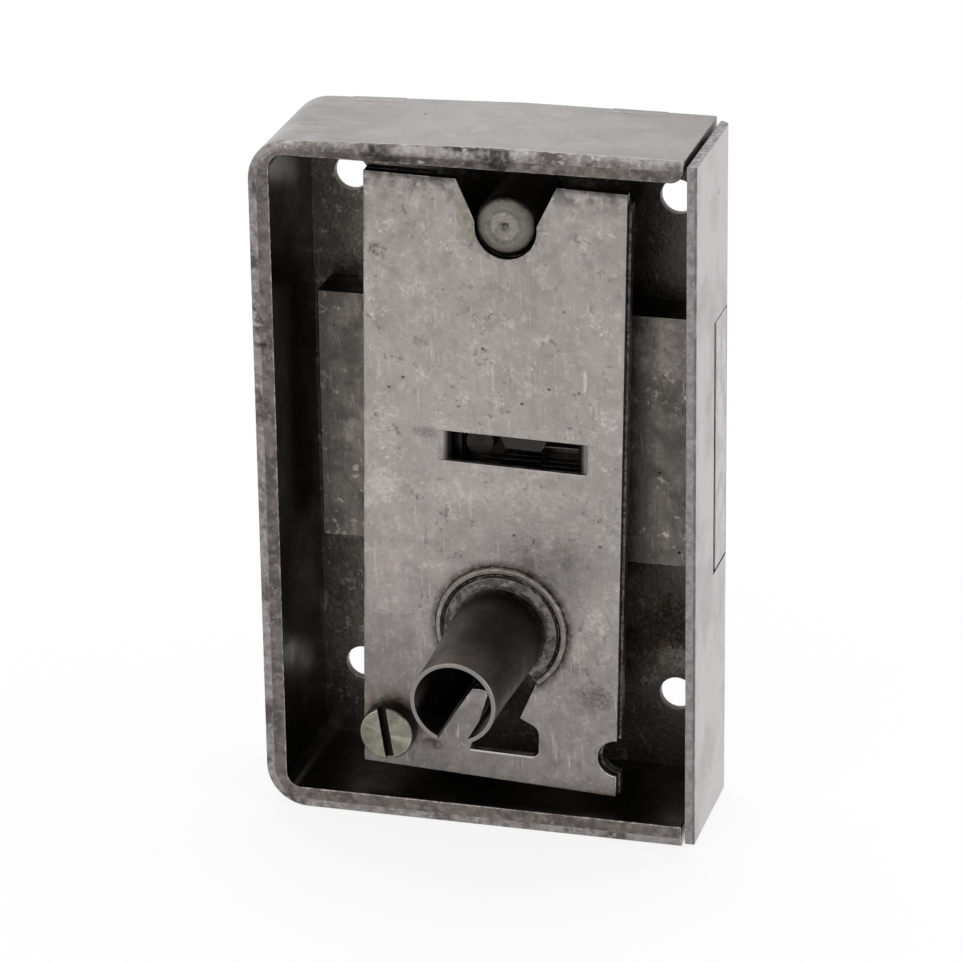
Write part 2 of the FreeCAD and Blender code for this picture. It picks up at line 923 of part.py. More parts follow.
def build_screw_pillar():
    """Threaded pillar riveted in the back plate, under the lower left corner of the plates."""
    bore = cell("screw_radius") + cell("screw_play")
    bore_end = cell("cap_front") + cell("screw_length") + cell("screw_clearance")
    profile = [
        (bore, guide_back),
        (cell("pillar_radius"), guide_back),
        (cell("pillar_radius"), back_inside),
        (cell("tenon_radius"), back_inside),
        (cell("tenon_radius"), case_back),
        (ZERO, case_back),
        (ZERO, bore_end),
        (bore, bore_end),
    ]
    return turned("screw_pillar", profile, screw_x, screw_z)


def build_cap_screw():
    """Slotted cheese-head screw that holds both plates on the pillar."""
    seat = cell("cap_front")
    top = seat - cell("screw_head_height")
    head = cell("screw_head_radius")
    shank = cell("screw_radius")
    rim = head - cell("screw_head_draft")
    bevel = cell("screw_head_bevel")
    profile = [
        (ZERO, top),
        (rim - bevel, top),
        (rim, top + bevel),
        (head, seat),
        (shank, seat),
        (shank, seat + cell("screw_length")),
        (ZERO, seat + cell("screw_length")),
    ]
    body = turned("cap_screw", profile, screw_x, screw_z, -cell("screw_turn"))
    half = cell("screw_slot_width") / 2
    cut_outline(body, top, cell("screw_slot_depth"), rectangle(-half, -head, half, head))
    return body


def keyway(margin):
    """Keyway below the tube, for a curved bit with a foot, widened all round by a margin."""
    foot = keyway_foot - margin
    foot_top = keyway_foot + cell("keyway_foot_height") + margin
    neck = keyway_foot + cell("keyway_foot_height") + cell("keyway_neck_above")
    return [
        (cell("keyway_top_right") + margin, -cell("keyway_shoulder")),
        (ZERO, -cell("tube_wall")),
        (-cell("keyway_top_left") - margin, -cell("keyway_shoulder")),
        (-cell("keyway_top_left") - margin, -cell("keyway_shelf")),
        (-cell("keyway_lip_left") - margin, -cell("keyway_shelf")),
        (-cell("keyway_foot_left") - margin, foot),
        (cell("keyway_foot_right") + margin, foot),
        (cell("keyway_foot_right") + margin, foot_top),
        (cell("keyway_neck_right") + margin, neck),
    ]


def round_keyway(body):
    """Round the tongue that reaches in from the left, and the keyway's foot on the right."""
    right = cell("keyway_foot_right")
    foot_top = keyway_foot + cell("keyway_foot_height")
    tongue = (-cell("keyway_lip_left"), -cell("keyway_shelf"))
    round_corners(body, [(right, keyway_foot)], cell("keyway_corner"))
    round_corners(body, [(right, foot_top)], cell("keyway_foot_round"))
    round_corners(body, [tongue], cell("keyway_lip_round"))


def build_cap_plate():
    """Cap plate, hung a little askew: stud notch, slot, keyway, tube hole and screw hole."""
    body = new_body("cap_plate")
    front = cell("cap_front")
    wall = cell("cap_wall")
    left = cap_left
    right = cap_right
    head = cap_head
    foot = cap_foot
    throat = cell("stud_radius") + cell("stud_play")
    throat_z = notch_rise + cell("notch_throat_rise")
    plate(
        body,
        front,
        wall,
        [
            (left, foot + cell("cap_foot_slant")),
            (right, foot - cell("cap_foot_slant")),
            (right, head),
            (cell("notch_mouth"), head),
            (throat, throat_z),
            (throat, notch_rise),
            (-throat, notch_rise),
            (-throat, throat_z),
            (-cell("notch_mouth"), head),
            (left, head),
        ],
    )
    cut_round(body, front, wall, ZERO, notch_rise, throat)
    saw_slot(body, front)
    cut_outline(body, front, wall, keyway(ZERO))
    round_keyway(body)
    cut_round(body, front, wall, ZERO, ZERO, tube_neck)
    finish_cover(body, front, wall, right)
    return body


def saw_slot(body, front):
    """Slot over the bolt's stump, plunged by a disc saw, so that its ends slope in an arc."""
    radius = cell("slot_saw_radius")
    middle = cell("slot_middle")
    half = cell("slot_height") / 2
    hub = front - chord(radius, cell("slot_half_length"))
    pocket(
        body,
        "XY_Plane",
        bolt_middle + half,
        cell("slot_height"),
        lambda sketch: draw_circle(sketch, middle, hub, radius),
    )


def finish_cover(body, front, wall, right):
    """Side notch and screw hole, alike in both plates, and their common tilt."""
    notch_z = cap_foot + cell("side_notch_above_foot")
    cut_round(body, front, wall, right, notch_z, cell("side_notch_radius"))
    hole = cell("screw_radius") + cell("screw_clearance")
    cut_round(body, front, wall, cap_screw_x, cap_screw_z, hole)
    place(body, turn=cell("cap_tilt"))


def build_guide_plate():
    """Guide plate behind the cap: wider notch at the stud, and a window with a hanging tab."""
    body = new_body("guide_plate")
    front = cap_back
    wall = cell("guide_wall")
    left = cap_left
    right = cap_right + cell("guide_overhang")
    head = cap_head
    low_head = head - cell("guide_step")
    throat = cell("stud_radius") + cell("stud_play")
    throat_z = notch_rise - cell("notch_throat_rise")
    tab_right = left + cell("guide_tab")
    plate(
        body,
        front,
        wall,
        [
            (left, cap_foot + cell("cap_foot_slant")),
            (right, cap_foot - cell("cap_foot_slant")),
            (right, low_head - cell("guide_corner")),
            (right - cell("guide_corner"), low_head),
            (cell("guide_notch_right"), low_head),
            (throat, throat_z),
            (-throat, throat_z),
            (tab_right, head - cell("guide_tab_bevel")),
            (tab_right, head),
            (left, head),
        ],
    )
    cut_round(body, front, wall, ZERO, notch_rise, throat)
    cut_outline(body, front, wall, guide_window())
    cut_outline(body, front, wall, keyway(cell("keyway_margin")))
    cut_round(body, front, wall, ZERO, ZERO, tube_neck)
    finish_cover(body, front, wall, right)
    return body


def guide_window():
    """Window behind the cap's slot, a little larger, with a tapered tab hanging into it."""
    margin = cell("window_margin")
    half = cell("slot_height") / 2 + margin
    left = cell("slot_middle") - cell("window_half_length")
    right = cell("slot_middle") + cell("window_half_length")
    foot = bolt_middle - half
    head = bolt_middle + half
    slope = cell("window_tab_slope")
    tab_left = cell("window_tab_middle") - cell("window_tab_half")
    tab_right = cell("window_tab_middle") + cell("window_tab_half")
    tab_foot = head - cell("window_tab_drop")
    return [
        (left, foot),
        (right, foot),
        (right, head),
        (tab_right + slope, head),
        (tab_right, tab_foot),
        (tab_left, tab_foot),
        (tab_left - slope, head),
        (left, head),
    ]


def build_key_tube():
    """Rolled tube with an open seam below: straight at its mouth, it widens towards its root, and
    its neck is riveted through collar and plates."""
    outer = cell("tube_radius")
    inner = outer - cell("tube_wall")
    front = -cell("tube_reach")
    lip = cell("tube_lip")
    profile = [
        (inner, front),
        (outer - lip, front),
        (outer, front + lip),
        (outer, front + cell("tube_straight")),
        (tube_root, collar_front),
        (tube_neck, collar_front),
        (tube_neck, guide_back),
        (inner, guide_back),
    ]
    body = turned("key_tube", profile, turn=cell("cap_tilt"))
    half = cell("tube_slit") / 2
    cut_outline(
        body,
        front,
        guide_back - front,
        rectangle(-half, -tube_root - cell("tube_wall"), half, -inner + cell("tube_wall")),
    )
    return body


def build_tube_collar():
    """Stepped ring round the foot of the tube, open below where the keyway is."""
    seat = cell("cap_front")
    inner_top = collar_front
    outer_top = seat - cell("collar_outer_height")
    groove = tube_root + cell("collar_step")
    groove_half = cell("collar_groove_depth")
    edge = groove + cell("collar_ring")
    profile = [
        (tube_neck, inner_top),
        (tube_root + groove_half, inner_top),
        (groove - groove_half, outer_top),
        (groove, outer_top + groove_half),
        (groove + groove_half, outer_top),
        (edge - groove_half, outer_top),
        (edge, outer_top + groove_half),
        (edge, seat),
        (tube_neck, seat),
    ]
    body = turned("tube_collar", profile, turn=cell("cap_tilt"))
    reach = edge * 2
    cut_outline(
        body,
        inner_top,
        cell("collar_inner_height"),
        [
            (ZERO, ZERO),
            (
                -reach * cosine(cell("collar_gap_left")),
                -reach * sine(cell("collar_gap_left")),
            ),
            (
                reach * cosine(cell("collar_gap_right")),
                -reach * sine(cell("collar_gap_right")),
            ),
        ],
    )
    return body


nodes = [
    build_back_plate(),
    build_rim(),
    build_bolt(),
    build_bolt_stump(),
    build_pivot_pin(),
    build_cap_stud(),
    build_screw_pillar(),
    build_cap_screw(),
    build_cap_plate(),
    build_guide_plate(),
    build_key_tube(),
    build_tube_collar(),
]
for post_name, post_x in post_places.items():
    nodes.append(build_cover_post(post_name, post_x))
for tumbler in range(1, COUNT_OF_TUMBLERS + 1):
    nodes.append(build_tumbler(tumbler))
    nodes.append(build_tumbler_spring(tumbler))
doc.recompute()

for thing in doc.Objects:
    if "Invalid" in thing.State or "Error" in thing.State:
        raise ValueError("failed: " + thing.Label)
for node in nodes:
    if node.Shape.isNull() or not node.Shape.isValid():
        raise ValueError("bad shape: " + node.Label)
for node in nodes:
    node.Shape.exportStep("parts/%s.step" % node.Label)
    print(node.Label, len(node.Shape.Solids), round(node.Shape.Volume, 1))
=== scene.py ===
import json
import math

import bmesh
import bpy
from mathutils import Matrix, Vector

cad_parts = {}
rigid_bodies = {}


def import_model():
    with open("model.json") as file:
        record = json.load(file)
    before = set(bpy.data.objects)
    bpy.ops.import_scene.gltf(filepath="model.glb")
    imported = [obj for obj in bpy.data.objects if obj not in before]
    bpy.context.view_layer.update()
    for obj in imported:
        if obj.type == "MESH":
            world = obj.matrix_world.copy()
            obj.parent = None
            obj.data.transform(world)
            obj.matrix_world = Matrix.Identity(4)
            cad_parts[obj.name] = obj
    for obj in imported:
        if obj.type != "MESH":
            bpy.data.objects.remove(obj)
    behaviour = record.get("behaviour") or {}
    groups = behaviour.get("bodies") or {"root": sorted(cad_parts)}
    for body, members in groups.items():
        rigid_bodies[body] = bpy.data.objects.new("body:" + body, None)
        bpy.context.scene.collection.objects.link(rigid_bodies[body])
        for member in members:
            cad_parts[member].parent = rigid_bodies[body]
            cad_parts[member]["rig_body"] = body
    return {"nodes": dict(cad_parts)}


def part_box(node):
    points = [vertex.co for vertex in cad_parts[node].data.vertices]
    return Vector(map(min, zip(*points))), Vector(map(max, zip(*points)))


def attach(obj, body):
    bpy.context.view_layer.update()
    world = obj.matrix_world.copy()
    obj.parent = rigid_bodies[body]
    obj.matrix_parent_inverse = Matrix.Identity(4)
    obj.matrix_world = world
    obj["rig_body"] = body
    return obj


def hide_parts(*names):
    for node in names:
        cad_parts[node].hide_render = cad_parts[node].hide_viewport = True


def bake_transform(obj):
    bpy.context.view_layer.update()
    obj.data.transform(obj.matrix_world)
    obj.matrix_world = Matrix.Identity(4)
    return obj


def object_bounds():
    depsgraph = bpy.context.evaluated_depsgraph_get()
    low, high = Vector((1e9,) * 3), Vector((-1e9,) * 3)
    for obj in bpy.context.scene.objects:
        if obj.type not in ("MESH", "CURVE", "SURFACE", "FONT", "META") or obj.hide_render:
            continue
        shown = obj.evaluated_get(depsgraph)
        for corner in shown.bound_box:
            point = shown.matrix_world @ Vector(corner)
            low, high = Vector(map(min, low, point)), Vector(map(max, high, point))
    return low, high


bl_info = {
    "name": "Cabinet lock",
    "version": (1, 0, 0),
    "blender": (4, 5, 0),
    "location": "3D View > Sidebar > Lock",
    "description": "Dresses a surface cabinet lock and sets its studio",
    "category": "Object",
}

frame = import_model()
CAD_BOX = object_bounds()

MM = 0.001
# Planes that the finishes refer to, in millimetres
CAP_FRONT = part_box("cap_plate")[0].y / MM
CASE_BACK = CAD_BOX[1].y / MM
FOREND = CAD_BOX[1].x / MM
# How far back the rim's flat front edge and its bevel end, in millimetres
FLAT_EDGE = 0.03
BEVELLED_EDGE = 0.39
# Well past the lock on every side, in millimetres
FAR = 80
# The cap hangs askew by this many degrees
COVER_TILT = 1.2
# Corners this near each other, in millimetres, are one
SAME_CORNER = 0.002
# Angles in degrees between two faces: below the first they are one flat face, above the second
# their edge is worn round, and above the third it is shaded as an edge
FLAT_ANGLE = 0.5
WORN_ANGLE = 28
SHARP_ANGLE = 40

# Settings of shader nodes
COLOURS = {"data_type": "RGBA"}
GLAZE = {"data_type": "RGBA", "blend_type": "MULTIPLY"}
TIMES = {"operation": "MULTIPLY"}
TIMES_PLUS = {"operation": "MULTIPLY_ADD"}
MINUS = {"operation": "SUBTRACT"}
LARGER = {"operation": "MAXIMUM"}
LENGTH = {"operation": "LENGTH"}


def linear(text):
    """An sRGB hex colour as linear red, green and blue."""
    channels = [int(text[i:i + 2], 16) / 255 for i in (1, 3, 5)]
    return tuple(c / 12.92 if c <= 0.04045 else ((c + 0.055) / 1.055) ** 2.4 for c in channels)


def colour(name, text, about):
    """A colour that a user may change, kept linear."""
    return bpy.props.FloatVectorProperty(
        name=name, description=about, subtype="COLOR", size=3, min=0, max=1, default=linear(text)
    )


def length(name, millimetres, about):
    """A length that a user may change."""
    return bpy.props.FloatProperty(
        name=name, description=about, default=millimetres * MM, min=0, unit="LENGTH", precision=5
    )


class LockFinish(bpy.types.PropertyGroup):
    """Colours of the lock's metals, and colours painted as shade inside it."""

    case: colour("Case", "#ABA7A6", "Plated steel of the case's outside")
    forend: colour("Forend", "#B9B4B5", "Plated steel of the forend's outer face")
    rim_edge: colour("Rim edge", "#6E6764", "Dirty sheared edge of the rim")
    case_inside: colour("Case inside", "#6E6963", "Dull plating inside the case")
    # Inner walls: painted shade, a near-black laid on the case's inner walls and the forend's inner
    # face
    inner_shade: colour("Inner walls", "#2E2B29", "Black oil film on the inner walls")
    cover: colour("Cover", "#B4ADAA", "Mottled plating of the cap plate")
    guide: colour("Guide plate", "#8A857F", "Speckled plating of the plate behind the cap")
    bolt: colour("Bolt", "#79736E", "Dark steel of the bolt")
    bolt_end: colour("Bolt end", "#C6C2C1", "Ground end of the bolt")
    tube: colour("Tube", "#6E6963", "Dulled steel of the key tube")
    # Tube root: painted shade, the near-black that the key tube darkens to towards its root
    tube_root_shade: colour("Tube root", "#191715", "Oil-blackened root of the key tube")
    collar: colour("Collar", "#938C87", "Worn plating of the collar")
    fixing: colour("Fixings", "#827E76", "Turned steel of stud, posts and pins")
    screw: colour("Screw", "#939183", "Yellowed nickel of the screw")
    tumbler: colour("Tumblers", "#33302D", "Punched steel of the tumblers")
    # Worn edge: also painted as highlight on the lit edges below the key's foot and round the side
    # notch
    worn: colour("Worn edge", "#D2CDC9", "Bright steel where an edge is rubbed bare")
    rust: colour("Rust", "#4F4033", "Rust and dried oil")
    # Dirt: real dirt in pits and stains, and also painted shade on the walls of the cap's holes, on
    # the bolt's top and on the stud's side; the sides of the screw head are painted with it too
    dirt: colour("Dirt", "#1F1B19", "Black dirt in corners and pits")


class LockEdges(bpy.types.PropertyGroup):
    """Widths of the small worn edges."""

    case: length("Case edge", 0.18, "Width of the case's worn edges")
    cover: length("Cover edge", 0.16, "Width of the punched edges of both plates")
    bolt: length("Bolt edge", 0.22, "Width of the bolt's edges")
    tube: length("Tube edge", 0.1, "Width of the tube's edges")
    small: length("Small edge", 0.08, "Width of edges on pins, posts and tumblers")


class LockStudio(bpy.types.PropertyGroup):
    """Floor, lamps and camera."""

    floor: colour("Floor", "#FFFFFF", "Colour of floor and backdrop")
    focal_length: bpy.props.FloatProperty(
        name="Focal length", description="Lens, in millimetres", default=179.47, min=10
    )
    distance: length("Camera distance", 630.9, "From the camera to the point that it looks at")
    azimuth: bpy.props.FloatProperty(
        name="Azimuth", description="Camera's angle to the right of the lock's front",
        default=math.radians(15.44), unit="ROTATION",
    )
    elevation: bpy.props.FloatProperty(
        name="Elevation", description="Camera's angle above the horizon",
        default=math.radians(22.09), unit="ROTATION",
    )
    roll: bpy.props.FloatProperty(
        name="Roll", description="Camera's turn about its own axis",
        default=math.radians(-0.81), unit="ROTATION",
    )
    aim: bpy.props.FloatVectorProperty(
        name="Aim", description="Point that the camera looks at",
        default=(-1.43 * MM, 0, 22.95 * MM), subtype="TRANSLATION", unit="LENGTH", precision=5,
    )
    glow: bpy.props.FloatProperty(
        name="Floor glow", description="How much of the floor that the camera sees is pure white",
        default=0.82, min=0, max=1, subtype="FACTOR",
    )


def add(tree, kind, settings=None, *values, **named):
    """Adds a shader node of this kind. Its open inputs are filled in their order, then by name,
    and each gets a value, a socket, or a node whose first open output is meant."""
    node = tree.nodes.new("ShaderNode" + kind)
    for key, value in (settings or {}).items():
        setattr(node, key, value)
    inputs = [socket for socket in node.inputs if socket.enabled]
    pairs = list(zip(inputs, values))
    for key, value in named.items():
        wanted = key.replace("_", " ").lower()
        pairs.append((next(s for s in inputs if s.name.lower() == wanted), value))
    for socket, value in pairs:
        if isinstance(value, bpy.types.Node):
            value = next(output for output in value.outputs if output.enabled)
        if isinstance(value, bpy.types.NodeSocket):
            tree.links.new(value, socket)
        elif socket.type == "RGBA":
            socket.default_value = (*value, 1.0)
        else:
            socket.default_value = value
    return node


def ramp(tree, value, low, high):
    """A soft mask that goes from 0 to 1 as a value goes from the first number to the second."""
    return add(tree, "MapRange", {"interpolation_type": "SMOOTHSTEP"}, value, low, high)


def per(millimetres):
    """The texture scale whose features are this large."""
    return 1000 / millimetres


def shade(tint, factor):
    """A colour made lighter or darker."""
    return tuple(min(1.0, c * factor) for c in tint)


def axis_of(node):
    """Where a round piece's axis stands, across and up, in millimetres."""
    low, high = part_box(node)
    return ((low[0] + high[0]) / 2 / MM, (low[2] + high[2]) / 2 / MM)


def new_metal(name, roughness):
    """A bare metal: its material, its tree, its shader and the piece's own coordinates."""
    material = bpy.data.materials.new(name)
    material.use_nodes = True
    tree = material.node_tree
    tree.nodes.clear()
    spot = add(tree, "TexCoord").outputs["Object"]
    shader = add(tree, "BsdfPrincipled", metallic=1.0, roughness=roughness)
    add(tree, "OutputMaterial", None, shader)
    return material, tree, shader, spot


def grey(level):
    """A neutral colour of this level."""
    return (level, level, level)


def paint(tree, tone, *coats):
    """Lays coats over a tone. A coat is a mask, and the colour that shows where the mask is 1, or
    a number by which it darkens or lightens what is under it."""
    for mask, tint in coats:
        if isinstance(tint, float):
            tone = add(tree, "Mix", GLAZE, mask, tone, grey(tint))
        else:
            tone = add(tree, "Mix", COLOURS, mask, tone, tint)
    return tone


def relief(tree, level, *heights):
    """A surface's height between 0 and 1: its level, and the height where each mask is 1."""
    return paint(tree, grey(level), *((mask, grey(height)) for mask, height in heights))


def clouds(tree, spot, size, low, high, seed=0.0, detail=4.0):
    """Soft irregular patches of about this size in millimetres. The grain of zinc plating is finer
    than 0.1 mm, too fine to show, so the finishes draw it with patches of 0.4 to 0.7 mm."""
    moved = add(tree, "Mapping", None, spot, (seed, seed * 0.7, seed * 1.3))
    noise = add(tree, "TexNoise", None, moved, scale=per(size), detail=detail, roughness=0.62)
    return ramp(tree, noise, low, high)


def drawn_lines(tree, spot, along, long_mm, wide_mm, low, high, turn=0.0):
    """Fine lines along an axis, as rolling, drawing or scratching leaves, turned about Y. Real ones
    are under 0.1 mm wide, too fine to show, so the finishes draw them 0.2 mm wide or more."""
    stretch = [per(wide_mm)] * 3
    stretch["XYZ".index(along)] = per(long_mm)
    turned = add(tree, "Mapping", None, spot, rotation=(0, math.radians(turn), 0))
    scaled = add(tree, "Mapping", None, turned, scale=stretch)
    noise = add(tree, "TexNoise", None, scaled, scale=1.0, detail=3.0, roughness=0.55)
    return ramp(tree, noise, low, high)


def pits(tree, spot, spacing, radius, seed=0.0):
    """Round marks, at most one in each cell of this spacing, up to this radius; millimetres."""
    moved = add(tree, "Mapping", None, spot, (seed, seed, seed))
    cells = add(tree, "TexVoronoi", None, moved, scale=per(spacing), randomness=1.0)
    odd = add(tree, "TexNoise", None, moved, scale=per(spacing * 0.7), detail=2.0)
    reach = 1.6 * radius / spacing
    far = add(tree, "Math", TIMES_PLUS, odd, reach, cells)
    return ramp(tree, far, reach, 0.7 * reach)


def both(tree, first, second):
    """Where two masks are both 1."""
    return add(tree, "Math", TIMES, first, second)


def within(tree, region, *coats):
    """The same coats, kept to where the region's mask is 1."""
    return [(both(tree, region, mask), tint) for mask, tint in coats]


def slope(tree, spot, axis, low, high):
    """A mask that goes from 0 to 1 between two places along an axis, in millimetres."""
    parts = add(tree, "SeparateXYZ", None, spot)
    return ramp(tree, parts.outputs["XYZ".index(axis)], low * MM, high * MM)


def stain(tree, spot, centre, radii, ragged, size, amount=0.8):
    """A stain round a centre, reaching these radii in millimetres, with a ragged edge and thin
    places in it."""
    away = add(tree, "VectorMath", MINUS, spot, Vector(centre) * MM)
    share = add(tree, "VectorMath", {"operation": "DIVIDE"}, away, Vector(radii) * MM)
    far = add(tree, "VectorMath", LENGTH, share)
    noise = add(tree, "TexNoise", None, spot, scale=per(size), detail=4.0, roughness=0.65)
    wander = add(tree, "Math", TIMES_PLUS, noise, 2 * ragged, far)
    reach = ramp(tree, wander, 1.05 + ragged, 0.4 + ragged)
    thin = clouds(tree, spot, size * 0.6, 0.3, 0.62, seed=radii[0])
    return both(tree, both(tree, reach, thin), amount)


def in_box(tree, spot, low, high, fade=0.01):
    """1 inside a box given by two corners and 0 outside it, with a border this soft;
    millimetres."""
    low, high = Vector(low) * MM, Vector(high) * MM
    away = add(tree, "VectorMath", MINUS, spot, (low + high) / 2)
    far = add(tree, "VectorMath", {"operation": "ABSOLUTE"}, away)
    past = add(tree, "VectorMath", MINUS, far, (high - low) / 2)
    axes = add(tree, "SeparateXYZ", None, past)
    wide = add(tree, "Math", LARGER, axes.outputs[0], axes.outputs[1])
    most = add(tree, "Math", LARGER, wide, axes.outputs[2])
    return ramp(tree, most, fade * MM, -fade * MM)


def slab(tree, spot, front, back):
    """1 between two depths behind the rim's front plane and 0 elsewhere; millimetres."""
    return in_box(tree, spot, (-FAR, front, -FAR), (FAR, back, FAR))


def off_axis(tree, spot, x, z):
    """Coordinates seen from a line along Y, without their depth, and the distance from it."""
    flat = add(tree, "Mapping", None, spot, (-x * MM, 0, -z * MM), scale=(1, 0, 1))
    return flat, add(tree, "VectorMath", LENGTH, flat)


def round_axis(tree, spot, x, z, near, far):
    """A mask that goes from 0 to 1 between two distances from a line along Y; millimetres."""
    away = off_axis(tree, spot, x, z)[1]
    return ramp(tree, away, near * MM, far * MM)


def rubbed(tree, spot, size, low, high):
    """The rounded edges of a piece, broken up as uneven rubbing leaves them."""
    edges = add(tree, "Attribute", {"attribute_name": "worn"}).outputs["Fac"]
    return both(tree, edges, clouds(tree, spot, size, low, high, seed=5.3))


def riveted_end(tree, spot):
    """The last bit of a pin at the case's back, where its riveted end shows clean steel."""
    return slope(tree, spot, "Y", CASE_BACK - 0.2, CASE_BACK - 0.05)


def finish_metal(tree, shader, tone, height, depth, strength, roughness=None):
    """Gives the shader its colour, a relief this deep in millimetres and an uneven roughness: its
    mask, and the roughness at 0 and at 1."""
    tree.links.new(next(s for s in tone.outputs if s.enabled), shader.inputs["Base Color"])
    bump = add(tree, "Bump", None, height=height, distance=depth * MM, strength=strength)
    tree.links.new(bump.outputs[0], shader.inputs["Normal"])
    if roughness:
        mask, smooth, rough = roughness
        level = add(tree, "MapRange", None, mask, to_min=smooth, to_max=rough)
        tree.links.new(level.outputs[0], shader.inputs["Roughness"])


def zinc_plated_strip(finish):
    """Zinc plating on a bent steel strip: a satin grey with lines along the strip, darker clouds
    and a few nicks. Its sheared front edge is stained and speckled, and its inside is painted
    near-black as shade, with lighter blurred patches."""
    material, tree, shader, spot = new_metal("Zinc plated strip", 0.36)
    case, sheared, inner_shade_tint, dirt = finish.case, finish.rim_edge, finish.inner_shade, finish.dirt
    along = drawn_lines(tree, spot, "X", 22, 0.45, 0.42, 0.7)
    upward = drawn_lines(tree, spot, "Z", 22, 0.45, 0.42, 0.7)
    left_wall = in_box(tree, spot, (-FAR, -FAR, -25), (-31, FAR, 66))
    grain = clouds(tree, spot, 0.5, 0.35, 0.65, seed=0.6)
    haze = clouds(tree, spot, 11, 0.4, 0.68)
    nicks = pits(tree, spot, 5.5, 0.2, seed=0.4)
    tone = paint(
        tree, case,
        (haze, shade(case, 0.88)),
        (clouds(tree, spot, 2.4, 0.44, 0.68, seed=4.8), shade(case, 0.9)),
        (both(tree, slope(tree, spot, "X", 0, -34), clouds(tree, spot, 6, 0.3, 0.62, seed=2.2)),
         linear("#8B8A83")),
        (both(tree, along, slope(tree, spot, "X", -31.5, -30)), shade(case, 0.88)),
        (both(tree, upward, left_wall), shade(case, 0.82)),
        (both(tree, grain, clouds(tree, spot, 4, 0.45, 0.6)), shade(case, 0.78)),
        (drawn_lines(tree, spot, "X", 9, 0.22, 0.66, 0.72, turn=3), shade(case, 1.25)),
        (drawn_lines(tree, spot, "X", 7, 0.2, 0.67, 0.72, turn=-24), shade(case, 0.6)),
        (nicks, shade(case, 0.3)),
        (stain(tree, spot, (-11.9, 13.3, 69), (0.45, 0.7, 1), 0.3, 0.5), dirt),
        (both(tree, slope(tree, spot, "Z", 60, 66), slope(tree, spot, "X", -22, 26)), 0.88),
    )
    front = slab(tree, spot, -FAR, FLAT_EDGE)
    bevel = slab(tree, spot, FLAT_EDGE, BEVELLED_EDGE)
    edge = slab(tree, spot, -FAR, BEVELLED_EDGE)
    blotches = clouds(tree, spot, 2.2, 0.42, 0.6, seed=1.9)
    tone = paint(
        tree, tone,
        (bevel, shade(case, 0.74)),
        *within(
            tree, bevel,
            (clouds(tree, spot, 1.3, 0.36, 0.68, seed=3.3), shade(sheared, 1.2)),
            (clouds(tree, spot, 5, 0.46, 0.64, seed=5.5), shade(sheared, 0.6)),
            (clouds(tree, spot, 0.9, 0.52, 0.7, seed=8.5), shade(case, 0.9)),
        ),
        (front, sheared),
        *within(
            tree, front,
            (blotches, shade(sheared, 0.62)),
            (clouds(tree, spot, 1.2, 0.46, 0.7, seed=6.3), shade(sheared, 1.5)),
            (clouds(tree, spot, 0.5, 0.64, 0.7, seed=4.1), shade(case, 0.9)),
        ),
    )
    # Stains on the front edge: the place and the reach of each, and its colour
    for place, reach, tint in (
        ((-20, 0.2, 66.9), (7, 2, 1.3), shade(sheared, 0.45)),
        ((-8, 0.2, 66.6), (13, 2, 0.9), shade(sheared, 0.4)),
        ((-15.4, 0.2, 67.6), (2.4, 2, 2.2), dirt),
        ((-13, 0.2, 66.4), (2.2, 2, 1.1), dirt),
        ((-8.9, 0.2, 66.5), (0.7, 2, 0.4), case),
        ((-2.6, 0.2, 68.7), (5, 2, 0.8), dirt),
        ((0.8, 0.2, 67.6), (4.6, 2, 1.9), dirt),
        ((-3.2, 0.2, 67.7), (2.0, 2, 0.7), shade(case, 0.8)),
        ((-31.2, 0.2, 39.4), (1.4, 2, 0.5), shade(dirt, 2)),
        ((-31.9, 0.2, 42.3), (1.2, 2, 0.4), shade(case, 1.1)),
    ):
        mark = stain(tree, spot, place, reach, ragged=0.8, size=1.6)
        tone = paint(tree, tone, *within(tree, edge, (mark, tint)))
    # Painted shade: the case's inner walls near-black, with lighter blurred patches on the left and
    # bottom walls
    inner_shade = in_box(tree, spot, (-29.75, 0.12, -24.8), (27, FAR, 66.2))
    tone = paint(
        tree, tone,
        (inner_shade, inner_shade_tint),
        *within(
            tree, inner_shade,
            (clouds(tree, spot, 5, 0.45, 0.75, seed=7.7), shade(inner_shade_tint, 2.2)),
            (stain(tree, spot, (-29.6, 9, 56), (2, 6, 5), 0.5, 4), shade(inner_shade_tint, 5)),
            (stain(tree, spot, (-29.6, 9, -14), (2, 3.4, 3.4), 0.4, 3), shade(inner_shade_tint, 5)),
            (stain(tree, spot, (-16, 9, -24.6), (9, 5, 2), 0.7, 4), shade(inner_shade_tint, 3)),
        ),
        (rubbed(tree, spot, 1.3, 0.46, 0.66), shade(finish.worn, 0.62)),
    )
    height = relief(
        tree, 0.5, (along, 0.42), (grain, 0.6), (both(tree, edge, blotches), 0.2), (nicks, 0),
    )
    finish_metal(tree, shader, tone, height, 0.06, 0.5, (haze, 0.3, 0.46))
    return material


